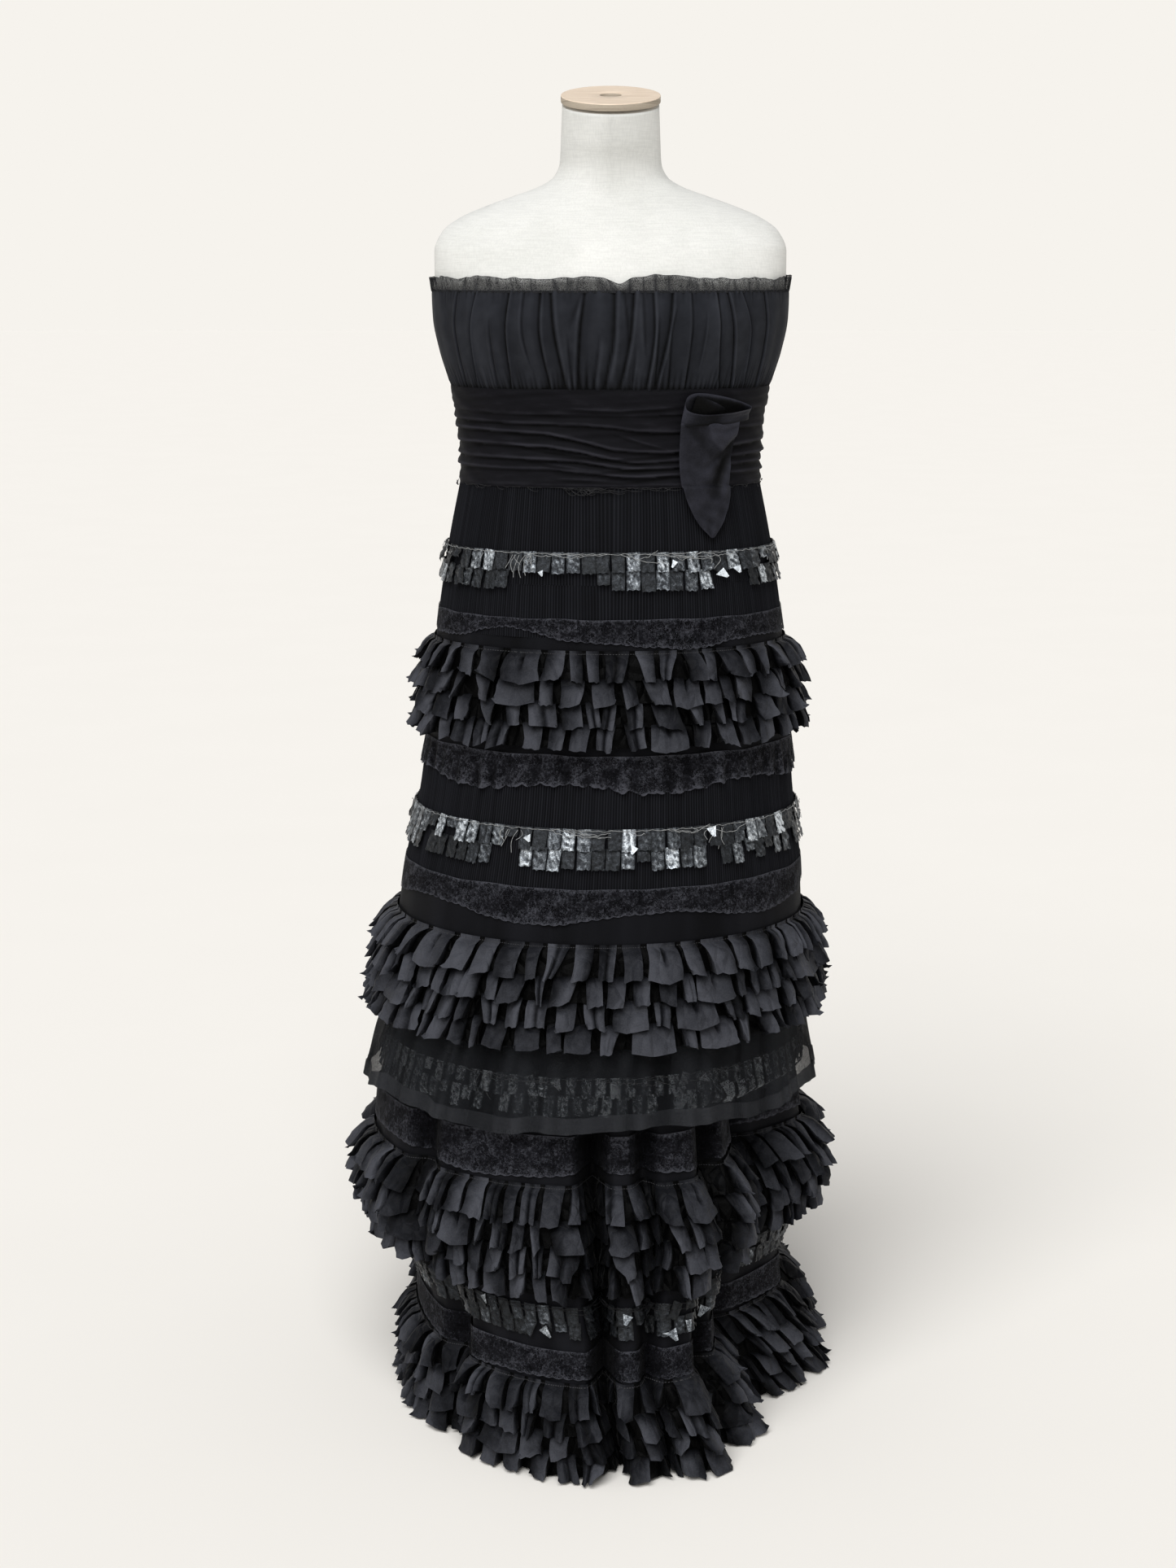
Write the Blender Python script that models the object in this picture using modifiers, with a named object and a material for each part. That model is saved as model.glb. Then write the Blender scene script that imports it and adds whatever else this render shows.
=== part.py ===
"""A strapless gown worn by a limbless dress form.

Metres, +Z up, the gown's front faces -Y. The origin is on the floor, under the form's pole.
Every piece of cloth is a thin wall lofted through rings of points. The form and the skirts have a table of sections,
one a row, and a trim is made from the points of the panel that carries it, moved outwards.
"""

import math
import random
from collections import namedtuple

import bmesh
import bpy
from mathutils import Vector

# The real heights that drive the rest, in metres.
NECKLINE = 1.277
WAIST_SEAM = 1.173
CUMMERBUND_FOOT = 1.067
UPPER_SKIRT_FOOT = 0.466
HEM = 0.006

SEAM_GAP = 0.0003
FORM_CLEARANCE = 0.0010
CLOTH = 0.0018
FOLDED_CLOTH = 0.0022
TRIM_CLOTH = 0.0014
TRIM_GAP = 0.0009
TULLE = 0.0010

UPPER_TURNS = 36
CLOTH_SMOOTH_ANGLE = math.radians(50)

CAP_RADIUS = 0.0545
CAP_THICKNESS = 0.008
CAP_RECESS_RADIUS = 0.012
CAP_RECESS_DEPTH = 0.003
POLE_RADIUS = 0.014
BASE_RADIUS = 0.160
BASE_THICKNESS = 0.006
BASE_HUB_RADIUS = 0.032
BASE_HUB_TOP = 0.036

# One level section: half width, depth in front of and behind its middle line, squareness (2 is an ellipse),
# where its middle lies along X and Y, and how far its plane climbs towards the back.
Section = namedtuple("Section", "height half_width front back power shift middle lean", defaults=(2.0, 0, 0, 0))

FORM = (
    Section(1.477, 0.0530, 0.0530, 0.0530, 2.0, 0, -0.012, 0.242),
    Section(1.440, 0.0545, 0.0540, 0.0540, 2.0, 0, -0.006, 0.120),
    Section(1.413, 0.0560, 0.0550, 0.0550, 2.0, 0, 0.001),
    Section(1.398, 0.0630, 0.0580, 0.0580, 2.0, 0, 0.005),
    Section(1.388, 0.0790, 0.0615, 0.0610, 2.0, 0, 0.007),
    Section(1.378, 0.1070, 0.0660, 0.0660, 2.0, 0, 0.008),
    Section(1.367, 0.1380, 0.0720, 0.0730, 2.1, 0, 0.008),
    Section(1.355, 0.1660, 0.0790, 0.0790, 2.2, 0, 0.007),
    Section(1.340, 0.1860, 0.0860, 0.0850, 2.3, 0, 0.005),
    Section(1.318, 0.1950, 0.0950, 0.0900, 2.4, 0, 0.002),
    Section(NECKLINE, 0.1945, 0.1070, 0.0935, 2.4),
    Section(1.246, 0.1930, 0.1130, 0.0940, 2.4),
    Section(1.210, 0.1860, 0.1130, 0.0940, 2.4),
    Section(WAIST_SEAM, 0.1755, 0.1100, 0.0940, 2.4),
    Section(1.125, 0.1665, 0.1050, 0.0940, 2.3),
    Section(1.096, 0.1640, 0.1030, 0.0960, 2.3),
    Section(CUMMERBUND_FOOT, 0.1650, 0.1050, 0.1020, 2.3),
    Section(1.000, 0.1740, 0.1150, 0.1200, 2.3),
    Section(0.900, 0.1830, 0.1220, 0.1360, 2.3),
    Section(0.825, 0.1700, 0.1110, 0.1240, 2.3),
    Section(0.800, 0.1330, 0.0840, 0.0940, 2.3),
)

SKIRT = (
    Section(CUMMERBUND_FOOT - SEAM_GAP, 0.1676, 0.1076, 0.1046, 2.3),
    Section(1.000, 0.1810, 0.1240, 0.1300, 2.2),
    Section(0.910, 0.1950, 0.1400, 0.1520, 2.1),
    Section(0.842, 0.2030, 0.1500, 0.1620),
    Section(0.727, 0.2125, 0.1690, 0.1830, 2.0, -0.003),
    Section(0.617, 0.2300, 0.1905, 0.2110, 2.0, -0.008),
    Section(UPPER_SKIRT_FOOT, 0.2430, 0.2160, 0.2450, 2.0, -0.017),
)

OVERLAY = (
    Section(0.488, 0.2411, 0.2123, 0.2400, 2.0, -0.0157),
    Section(UPPER_SKIRT_FOOT, 0.2430, 0.2160, 0.2450, 2.0, -0.017),
    Section(0.425, 0.2500, 0.2290, 0.2620, 2.0, -0.0215),
    Section(0.370, 0.2580, 0.2440, 0.2800, 2.0, -0.0240),
)

UNDERSKIRT = (
    Section(0.520, 0.2350, 0.2035, 0.2294, 2.0, -0.0138),
    Section(UPPER_SKIRT_FOOT, 0.2396, 0.2126, 0.2416, 2.0, -0.017),
    Section(0.436, 0.2400, 0.2130, 0.2440, 2.0, -0.0180),
    Section(0.396, 0.2440, 0.2200, 0.2520, 2.0, -0.0200),
    Section(0.367, 0.2500, 0.2310, 0.2680, 2.0, -0.0210),
    Section(0.312, 0.2560, 0.2460, 0.2900, 2.0, -0.0200),
    Section(0.250, 0.2630, 0.2640, 0.3150, 2.0, -0.0140),
    Section(0.218, 0.2500, 0.2700, 0.3230, 2.0, -0.0130),
    Section(0.185, 0.2340, 0.2760, 0.3310, 2.0, -0.0115),
    Section(0.143, 0.2200, 0.2840, 0.3410, 2.0, -0.0080),
    Section(0.100, 0.2220, 0.2920, 0.3520, 2.0, -0.0070),
    Section(0.050, 0.2300, 0.3000, 0.3650, 2.0, 0.0030),
    Section(HEM, 0.2390, 0.3060, 0.3760, 2.0, 0.0110),
)

# The underskirt's deep folds: where each valley runs, how far off its lips are, and how far it goes in.
Fold = namedtuple("Fold", "degrees lip_degrees depth")

FOLDS = (
    Fold(0.0, 5.5, 0.045),
    Fold(13.5, 4.5, 0.022),
    Fold(33.0, 7.0, 0.030),
    Fold(60.0, 8.0, 0.015),
    Fold(96.0, 7.0, 0.024),
    Fold(140.0, 7.5, 0.032),
    Fold(180.0, 7.5, 0.030),
    Fold(222.0, 7.5, 0.032),
    Fold(264.0, 7.0, 0.026),
    Fold(312.0, 7.0, 0.018),
)
# A broad bay at the front right, where the cloth is drawn to the back.
BAY = Fold(60.0, 36.0, 0.068)
FOLDS_START = 0.396
FOLDS_FULL = 0.367

# Lace lies flat and has a scalloped foot. A foil band carries two rows of tabs.
Band = namedtuple("Band", "name top foot scallop scallops", defaults=(0, 0))

UPPER_LACE = (
    Band("lace_band_1", 0.926, 0.901, 0.005, 5),
    Band("lace_band_2", 0.779, 0.744, 0.005, 6),
    Band("lace_band_3", 0.636, 0.604, 0.007, 5),
)
LOWER_LACE = (
    Band("lace_band_4", 0.367, 0.325, 0.004, 5),
    Band("lace_band_5", 0.138, 0.1065, 0.002, 5),
)
UPPER_FOIL = (Band("foil_band_1", 0.998, 0.958), Band("foil_band_2", 0.701, 0.658))
LOWER_FOIL = (Band("foil_band_3", 0.436, 0.396), Band("foil_band_4", 0.185, 0.143))

# A ruffle tier has four pleated strips. Flare is how far a strip's foot stands out, and wave is how much its pleats
# go out and in.
Tier = namedtuple("Tier", "name top foot flare wave")

UPPER_TIERS = (Tier("ruffle_1", 0.889, 0.789, 0.0130, 0.0060), Tier("ruffle_2", 0.573, 0.466, 0.0185, 0.0080))
LOWER_TIERS = (Tier("ruffle_3", 0.312, 0.202, 0.0230, 0.0100), Tier("ruffle_4", 0.100, 0.004, 0.0190, 0.0085))
ROWS_PER_TIER = 4
ROW_OVERLAP = 0.005
COLUMNS_PER_WAVE = 4

# How deep the bodice's gathers are at each height.
GatherRow = namedtuple("GatherRow", "height depth")

GATHERS = (
    GatherRow(NECKLINE, 0.0014),
    GatherRow(1.246, 0.0024),
    GatherRow(1.210, 0.0030),
    GatherRow(WAIST_SEAM + SEAM_GAP, 0.0022),
)
FRONT_GATHERS = 18
BACK_GATHERS = 9

DRAPES = 6
DRAPE_RISE = 0.0032
DRAPE_WANDER = 0.0040

FRILL_HEIGHT = 0.014
FRILL_WAVES = 6

# The sash's tied end, at the viewer's right: an open loop whose front lip hangs lower, over a pointed tail.
LOOP_LEFT = math.radians(22)
LOOP_RIGHT = math.radians(55)
LOOP_TOP = 1.170
LOOP_DIP = 0.019
LOOP_FOOT = 1.137
LOOP_BACK = 0.0074
LOOP_DEPTH = 0.0140
LOOP_COLUMNS = 20

# Edges are turns in degrees. Stand-off is measured from the form or the skirt behind.
TailRow = namedtuple("TailRow", "height left right stand_off")

TAIL = (
    TailRow(LOOP_FOOT - SEAM_GAP, 22.3, 48.0, 0.0150),
    TailRow(1.115, 22.3, 47.8, 0.0145),
    TailRow(1.095, 22.4, 46.4, 0.0140),
    TailRow(1.075, 23.0, 45.6, 0.0130),
    TailRow(1.056, 24.6, 44.8, 0.0110),
    TailRow(1.040, 26.8, 42.6, 0.0095),
    TailRow(1.025, 30.0, 39.6, 0.0080),
    TailRow(1.012, 34.2, 35.8, 0.0070),
)
TAIL_COLUMNS = 6
TAIL_CREASE = 0.0022

BLACK_CREPE = ("black_crepe", (0.012, 0.012, 0.013), 0.85, 0.0)
BLACK_CHIFFON = ("black_chiffon", (0.020, 0.021, 0.023), 0.70, 0.0)
BLACK_SATIN = ("black_satin", (0.035, 0.036, 0.038), 0.45, 0.0)
BLACK_LACE = ("black_lace", (0.022, 0.023, 0.024), 0.80, 0.0)
BLACK_TULLE = ("black_tulle", (0.045, 0.046, 0.048), 0.75, 0.0)
PEWTER_FOIL = ("pewter_foil", (0.180, 0.190, 0.195), 0.35, 0.8)
LINEN = ("linen", (0.750, 0.750, 0.720), 0.85, 0.0)
PLYWOOD = ("plywood", (0.560, 0.430, 0.310), 0.60, 0.0)
STEEL = ("steel", (0.300, 0.300, 0.310), 0.40, 0.9)


def clear_scene():
    for thing in list(bpy.data.objects):
        bpy.data.objects.remove(thing, do_unlink=True)


def named_material(name, colour, roughness, metallic):
    found = bpy.data.materials.get(name)
    if found:
        return found
    made = bpy.data.materials.new(name)
    made.use_nodes = True
    shader = made.node_tree.nodes["Principled BSDF"]
    shader.inputs["Base Color"].default_value = (*colour, 1.0)
    shader.inputs["Roughness"].default_value = roughness
    shader.inputs["Metallic"].default_value = metallic
    made.diffuse_color = (*colour, 1.0)
    return made


def finish_piece(piece, finish, smooth_angle=CLOTH_SMOOTH_ANGLE):
    """Gives a piece its material and smooth shading, and puts it in the gown's collection."""
    piece.data.materials.clear()
    piece.data.materials.append(named_material(*finish))
    piece.data.shade_smooth()
    piece.data.set_sharp_from_angle(angle=smooth_angle)
    for collection in piece.users_collection:
        collection.objects.unlink(piece)
    PARTS.objects.link(piece)
    return piece


def piece_from(shape, name, finish):
    bmesh.ops.recalc_face_normals(shape, faces=shape.faces)
    mesh = bpy.data.meshes.new(name)
    shape.to_mesh(mesh)
    shape.free()
    piece = bpy.data.objects.new(name, mesh)
    bpy.context.scene.collection.objects.link(piece)
    return finish_piece(piece, finish)


def skin_rings(shape, rings, is_round):
    """Skins rings that run from top to foot. Every four points are split along the same diagonal."""
    count = len(rings[0])
    for upper, lower in zip(rings, rings[1:]):
        for j in range(count if is_round else count - 1):
            k = (j + 1) % count
            shape.faces.new((upper[j], lower[j], lower[k]))
            shape.faces.new((upper[j], lower[k], upper[k]))


def cloth_wall(name, outside, inside, finish, is_round=True):
    """A thin wall between two skins. Both list their rings from top to foot."""
    shape = bmesh.new()
    outer = [[shape.verts.new(point) for point in ring] for ring in outside]
    inner = [[shape.verts.new(point) for point in ring] for ring in inside]
    skin_rings(shape, outer, is_round)
    skin_rings(shape, inner, is_round)
    count = len(outer[0])
    for near, far in ((outer[0], inner[0]), (outer[-1], inner[-1])):
        for j in range(count if is_round else count - 1):
            k = (j + 1) % count
            shape.faces.new((near[j], near[k], far[k], far[j]))
    if not is_round:
        for side in (0, -1):
            for i in range(len(outer) - 1):
                corners = (outer[i][side], outer[i + 1][side], inner[i + 1][side], inner[i][side])
                shape.faces.new(corners)
    return piece_from(shape, name, finish)


def solid_stack(name, rings, finish):
    """A solid through rings, closed flat at its top and foot."""
    shape = bmesh.new()
    rows = [[shape.verts.new(point) for point in ring] for ring in rings]
    skin_rings(shape, rows, True)
    shape.faces.new(rows[0])
    shape.faces.new(rows[-1])
    return piece_from(shape, name, finish)


def on_section(section, turn):
    """A point of the section. Turn 0 is the centre front and a quarter turn is the viewer's right."""
    across = math.sin(turn)
    along = math.cos(turn)
    exponent = 2.0 / section.power
    x = section.half_width * math.copysign(abs(across) ** exponent, across)
    depth = section.front if along > 0 else section.back
    y = -depth * math.copysign(abs(along) ** exponent, along)
    return Vector((x + section.shift, y + section.middle, section.height + section.lean * y))


def level_normal(before, after):
    """The level direction that points outwards from the line between two points."""
    return Vector((after.y - before.y, before.x - after.x, 0.0)).normalized()


def outwards(section, turn):
    step = 0.02
    return level_normal(on_section(section, turn - step), on_section(section, turn + step))


def bust(height, turn):
    """How far the cups stand out from the form's plain sections."""
    rise = 0.013
    sideways = math.radians(24)
    width = math.radians(19)
    turned = (turn + math.pi) % (2 * math.pi) - math.pi
    across = math.exp(-(((abs(turned) - sideways) / width) ** 2))
    up = math.exp(-(((height - 1.240) / 0.042) ** 2))
    return rise * across * up


def deep_folds(height, turn):
    """How far the underskirt's folds pull it in: a straight slope from each lip to the valley."""
    growth = min(1.0, max(0.0, (FOLDS_START - height) / (FOLDS_START - FOLDS_FULL)))
    pull = 0.0
    for fold in (*FOLDS, BAY):
        away = (math.degrees(turn) - fold.degrees + 180.0) % 360.0 - 180.0
        pull += fold.depth * max(0.0, 1.0 - abs(away) / fold.lip_degrees)
    return -growth * pull


def soft_waves(height, turn):
    """The overlay's hem stands out and in as it hangs free."""
    growth = max(0.0, (UPPER_SKIRT_FOOT - height) / (UPPER_SKIRT_FOOT - OVERLAY[-1].height))
    return growth * 0.0045 * (1.0 + math.sin(5 * turn + 0.6))


def flat(height, turn):
    return 0.0


class Panel:
    """The outer surface of a piece: one ring of points a table row, all on the same turns."""

    def __init__(self, table, ripple, turns):
        self.turns = turns
        self.columns = range(len(turns))
        self.heights = [row.height for row in table]
        self.away = [[outwards(row, turn) for turn in turns] for row in table]
        self.rings = []
        for row, directions in zip(table, self.away):
            ring = [on_section(row, t) + d * ripple(row.height, t) for t, d in zip(turns, directions)]
            self.rings.append(ring)

    def along_column(self, values, height, column):
        """A ring value at any height: straight along the column between two rows."""
        column %= len(self.turns)
        for i in range(1, len(self.heights)):
            above = self.heights[i - 1]
            below = self.heights[i]
            if height >= below:
                share = max(0.0, (above - height) / (above - below))
                return values[i - 1][column].lerp(values[i][column], share)
        return values[-1][column]

    def point(self, height, column, off=0.0, flare=0.0):
        """A point at a distance off the surface, measured square to it, and then flared further out."""
        here = self.along_column(self.rings, height, column)
        before = self.along_column(self.rings, height, column - 1)
        after = self.along_column(self.rings, height, column + 1)
        first = level_normal(before, here)
        middle = (first + level_normal(here, after)).normalized()
        reach = off / max(0.45, middle.dot(first))
        return here + middle * reach + self.along_column(self.away, height, column) * flare

    def ring(self, height, off=0.0, flare=0.0, columns=None):
        """A ring of points. Each of height, off and flare is one number, or a function of the column."""
        def pick(value, column):
            return value(column) if callable(value) else value

        chosen = self.columns if columns is None else columns
        return [self.point(pick(height, c), c, pick(off, c), pick(flare, c)) for c in chosen]

    def rows_between(self, top, foot):
        return [height for height in self.heights if foot < height < top]


def turns_of(count):
    return [2 * math.pi * i / count for i in range(count)]


def folded_turns():
    """Four columns a fold: its left lip, its valley, its right lip, and the middle of the cloth up to the next."""
    turns = []
    for fold, following in zip(FOLDS, FOLDS[1:] + FOLDS[:1]):
        right_lip = fold.degrees + fold.lip_degrees
        next_lip = following.degrees - following.lip_degrees
        if next_lip < right_lip:
            next_lip += 360.0
        turns += [fold.degrees - fold.lip_degrees, fold.degrees, right_lip, (right_lip + next_lip) / 2]
    return [math.radians(degrees) for degrees in turns]


def bodice_turns():
    """Two columns a gather. The side seams leave a gap between the halves."""
    gap = SEAM_GAP / 2 / FORM[10].half_width
    front = [-math.pi / 2 + math.pi * i / (2 * FRONT_GATHERS) for i in range(2 * FRONT_GATHERS + 1)]
    back = [math.pi / 2 + math.pi * i / (2 * BACK_GATHERS) for i in range(2 * BACK_GATHERS + 1)]
    for turns in (front, back):
        turns[0] += gap
        turns[-1] -= gap
    return front, back


def turned_piece(name, profile, finish, steps):
    """Turns a profile of (radius, height) points round the Z axis."""
    mesh = bpy.data.meshes.new(name)
    points = [(radius, 0.0, height) for radius, height in profile]
    mesh.from_pydata(points, [(i, i + 1) for i in range(len(points) - 1)], [])
    piece = bpy.data.objects.new(name, mesh)
    bpy.context.scene.collection.objects.link(piece)
    screw = piece.modifiers.new("Turn", "SCREW")
    screw.steps = screw.render_steps = steps
    screw.use_merge_vertices = True
    screw.merge_threshold = 0.0001
    return finish_piece(piece, finish, math.radians(35))


def make_neck_cap():
    """The wooden cap lies on the neck, on the same slope, with a shallow round recess in its middle."""
    bevel = 0.0012
    profile = (
        (0.0, CAP_THICKNESS - CAP_RECESS_DEPTH),
        (CAP_RECESS_RADIUS, CAP_THICKNESS - CAP_RECESS_DEPTH),
        (CAP_RECESS_RADIUS, CAP_THICKNESS),
        (CAP_RADIUS - bevel, CAP_THICKNESS),
        (CAP_RADIUS, CAP_THICKNESS - bevel),
        (CAP_RADIUS, 0.0),
        (0.0, 0.0),
    )
    cap = turned_piece("neck_cap", profile, PLYWOOD, 28)
    neck = FORM[0]
    slope = math.atan(neck.lean)
    cap.rotation_euler = (slope, 0.0, 0.0)
    seat = Vector((0.0, -math.sin(slope), math.cos(slope))) * SEAM_GAP
    cap.location = Vector((0.0, neck.middle, neck.height)) + seat


def make_stand():
    bevel = 0.0015
    profile = (
        (0.0, BASE_HUB_TOP),
        (BASE_HUB_RADIUS - bevel, BASE_HUB_TOP),
        (BASE_HUB_RADIUS, BASE_HUB_TOP - bevel),
        (BASE_HUB_RADIUS, BASE_THICKNESS),
        (BASE_RADIUS - bevel, BASE_THICKNESS),
        (BASE_RADIUS, BASE_THICKNESS - bevel),
        (BASE_RADIUS, 0.0),
        (0.0, 0.0),
    )
    turned_piece("stand_base", profile, STEEL, 32)
    bottom = BASE_HUB_TOP + SEAM_GAP
    top = FORM[-1].height - SEAM_GAP
    bpy.ops.mesh.primitive_cylinder_add(vertices=20, radius=POLE_RADIUS, depth=top - bottom)
    pole = bpy.context.active_object
    pole.name = pole.data.name = "stand_pole"
    pole.location = (0.0, 0.0, (top + bottom) / 2)
    finish_piece(pole, STEEL, math.radians(35))


def make_bodice():
    """The strapless bodice's halves. Their outside is gathered into flutes and their inside follows the form."""
    front, back = bodice_turns()
    panel = Panel(FORM, bust, front + back)
    chance = random.Random(4)
    strength = [chance.uniform(0.7, 1.2) for _ in panel.columns]
    halves = {"front": range(len(front)), "back": range(len(front), len(front) + len(back))}
    for side, columns in halves.items():
        first = columns[0]
        outside = []
        for row in GATHERS:
            def raised(column, depth=row.depth):
                flute = depth * strength[column] if (column - first) % 2 else 0.0
                return FORM_CLEARANCE + CLOTH + flute

            outside.append(panel.ring(row.height, off=raised, columns=columns))
        inside = [panel.ring(row.height, off=FORM_CLEARANCE, columns=columns) for row in GATHERS]
        cloth_wall(f"bodice_{side}", outside, inside, BLACK_CHIFFON, is_round=False)


def make_frill(form):
    """The narrow tulle frill that stands up along the neckline."""
    foot = NECKLINE + SEAM_GAP
    period = UPPER_TURNS / FRILL_WAVES

    def top(column):
        return foot + FRILL_HEIGHT + 0.0022 * math.sin(2 * math.pi * column / period + 1.0)

    def lean(column):
        return 0.0022 + 0.0018 * math.sin(2 * math.pi * column / period)

    outer = FORM_CLEARANCE + TULLE
    outside = [form.ring(top, off=outer, flare=lean), form.ring(foot, off=outer)]
    inside = [form.ring(top, off=FORM_CLEARANCE, flare=lean), form.ring(foot, off=FORM_CLEARANCE)]
    cloth_wall("neckline_frill", outside, inside, BLACK_TULLE)


def make_cummerbund(form):
    """The draped sash round the waist: soft ridges that wander up and down as they go round."""
    steps = 2 * DRAPES
    outside = []
    for step in range(steps + 1):
        share = step / steps
        level = WAIST_SEAM + (CUMMERBUND_FOOT - WAIST_SEAM) * share
        wander = DRAPE_WANDER * math.sin(math.pi * share)

        def height(column, level=level, wander=wander, step=step):
            return level + wander * math.sin(form.turns[column] + 0.5 * step)

        rise = DRAPE_RISE if step % 2 else 0.0
        outside.append(form.ring(height, off=FORM_CLEARANCE + CLOTH + rise))
    levels = [WAIST_SEAM, *form.rows_between(WAIST_SEAM, CUMMERBUND_FOOT), CUMMERBUND_FOOT]
    inside = [form.ring(level, off=FORM_CLEARANCE) for level in levels]
    cloth_wall("cummerbund", outside, inside, BLACK_SATIN)


def make_sash_loop():
    """A band of cloth turned back on itself, open at its top and foot."""
    middle = (LOOP_LEFT + LOOP_RIGHT) / 2
    reach = (LOOP_RIGHT - LOOP_LEFT) / 2

    def path(share, shrink):
        points = []
        for i in range(LOOP_COLUMNS):
            angle = 2 * math.pi * i / LOOP_COLUMNS
            outer = (1.0 + math.sin(angle)) / 2
            height = LOOP_FOOT + (LOOP_TOP - LOOP_DIP * outer - LOOP_FOOT) * share
            turn = middle + (reach - 6 * shrink) * math.cos(angle)
            stand = LOOP_BACK + shrink + (LOOP_DEPTH - 2 * shrink) * outer
            points.append(behind_sash(height, turn, stand))
        return points

    shares = (1.0, 0.5, 0.0)
    outside = [path(share, 0.0) for share in shares]
    inside = [path(share, TRIM_CLOTH) for share in shares]
    cloth_wall("sash_loop", outside, inside, BLACK_SATIN)


def make_sash_tail():
    """The pointed end that hangs from the loop, creased from its top corners towards its point."""
    def row(place, back):
        points = []
        for i in range(TAIL_COLUMNS + 1):
            share = i / TAIL_COLUMNS
            turn = math.radians(place.left + (place.right - place.left) * share)
            crease = TAIL_CREASE * math.cos(4 * math.pi * share)
            points.append(behind_sash(place.height, turn, place.stand_off + crease - back))
        return points

    outside = [row(place, 0.0) for place in TAIL]
    inside = [row(place, CLOTH) for place in TAIL]
    cloth_wall("sash_tail", outside, inside, BLACK_SATIN, is_round=False)


def behind_sash(height, turn, stand_off):
    """A point in front of the form, and below the waist in front of the skirt."""
    table = FORM if height >= CUMMERBUND_FOOT else SKIRT
    for above, below in zip(table, table[1:]):
        if height >= below.height:
            share = (above.height - height) / (above.height - below.height)
            section = Section(*(a + (b - a) * share for a, b in zip(above, below)))
            break
    return on_section(section, turn) + outwards(section, turn) * stand_off


def make_skirt(name, panel, thickness, finish):
    """A skirt: one wall through all the rows of its table."""
    outside = [panel.ring(height) for height in panel.heights]
    inside = [panel.ring(height, off=-thickness) for height in panel.heights]
    cloth_wall(name, outside, inside, finish)


def make_overlay(panel):
    """The tulle layer that hangs from under the second ruffle tier, with an uneven hem."""
    def hem(column):
        return 0.377 + 0.0050 * math.sin(5 * panel.turns[column] + 0.4)

    levels = [*panel.heights[:-1], hem]
    outside = [panel.ring(level, off=TRIM_GAP + TULLE) for level in levels]
    inside = [panel.ring(level, off=TRIM_GAP) for level in levels]
    cloth_wall("tulle_overlay", outside, inside, BLACK_TULLE)


def make_lace(band, panel):
    """A lace strip that lies on its panel, with a scalloped foot."""
    def foot(column):
        return band.foot + band.scallop * math.sin(band.scallops * panel.turns[column] + band.top * 20)

    levels = [band.top, *panel.rows_between(band.top, band.foot + band.scallop), foot]
    outside = [panel.ring(level, off=TRIM_GAP + TRIM_CLOTH) for level in levels]
    inside = [panel.ring(level, off=TRIM_GAP) for level in levels]
    cloth_wall(band.name, outside, inside, BLACK_LACE)


def make_foil(band, panel):
    """Two overlapping rows of tabs on a tape, each row proud of the tape at its foot."""
    half = (band.top + band.foot) / 2
    step = 0.0012
    tape = TRIM_GAP + TRIM_CLOTH
    proud = tape + 0.0022
    outside = [
        panel.ring(band.top, off=tape),
        panel.ring(half, off=proud),
        panel.ring(half - step, off=tape),
        panel.ring(band.foot, off=proud),
    ]
    inside = [panel.ring(band.top, off=TRIM_GAP), panel.ring(band.foot, off=TRIM_GAP)]
    cloth_wall(band.name, outside, inside, PEWTER_FOIL)


def make_tier(tier, panel):
    """Four gathered strips, each stitched flat at its header and standing out in waves at its foot."""
    pitch = (tier.top - tier.foot - ROW_OVERLAP) / ROWS_PER_TIER
    strip = pitch + ROW_OVERLAP
    for row in range(ROWS_PER_TIER):
        header = tier.top - pitch * row
        chance = random.Random(f"{tier.name} {row}")
        swings = [chance.uniform(0.75, 1.0) for _ in panel.columns]
        shorter = [chance.uniform(0.0, 0.0020) for _ in panel.columns]

        def foot(column, header=header, shorter=shorter):
            return header - strip + shorter[column]

        def wavy(column, swings=swings, row=row):
            place = (column + 2 * row) % COLUMNS_PER_WAVE
            side = 1 if place < COLUMNS_PER_WAVE / 2 else -1
            return tier.flare + tier.wave * swings[column] * side

        outer = TRIM_GAP + TRIM_CLOTH
        outside = [panel.ring(header, off=outer), panel.ring(foot, off=outer, flare=wavy)]
        inside = [panel.ring(header, off=TRIM_GAP), panel.ring(foot, off=TRIM_GAP, flare=wavy)]
        cloth_wall(f"{tier.name}_row_{row + 1}", outside, inside, BLACK_SATIN)


def make_top():
    form = Panel(FORM, bust, turns_of(UPPER_TURNS))
    solid_stack("form_torso", form.rings, LINEN)
    make_bodice()
    make_frill(form)
    make_cummerbund(form)
    make_sash_loop()
    make_sash_tail()


def make_upper_skirt():
    panel = Panel(SKIRT, flat, turns_of(UPPER_TURNS))
    make_skirt("skirt_upper", panel, CLOTH, BLACK_CREPE)
    for band in UPPER_FOIL:
        make_foil(band, panel)
    for band in UPPER_LACE:
        make_lace(band, panel)
    for tier in UPPER_TIERS:
        make_tier(tier, panel)
    make_overlay(Panel(OVERLAY, soft_waves, turns_of(UPPER_TURNS)))


def make_lower_skirt():
    panel = Panel(UNDERSKIRT, deep_folds, folded_turns())
    make_skirt("skirt_lower", panel, FOLDED_CLOTH, BLACK_CREPE)
    for band in LOWER_FOIL:
        make_foil(band, panel)
    for band in LOWER_LACE:
        make_lace(band, panel)
    for tier in LOWER_TIERS:
        make_tier(tier, panel)


clear_scene()
PARTS = bpy.data.collections.new("strapless_gown")
bpy.context.scene.collection.children.link(PARTS)
make_top()
make_neck_cap()
make_stand()
make_upper_skirt()
make_lower_skirt()
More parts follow.
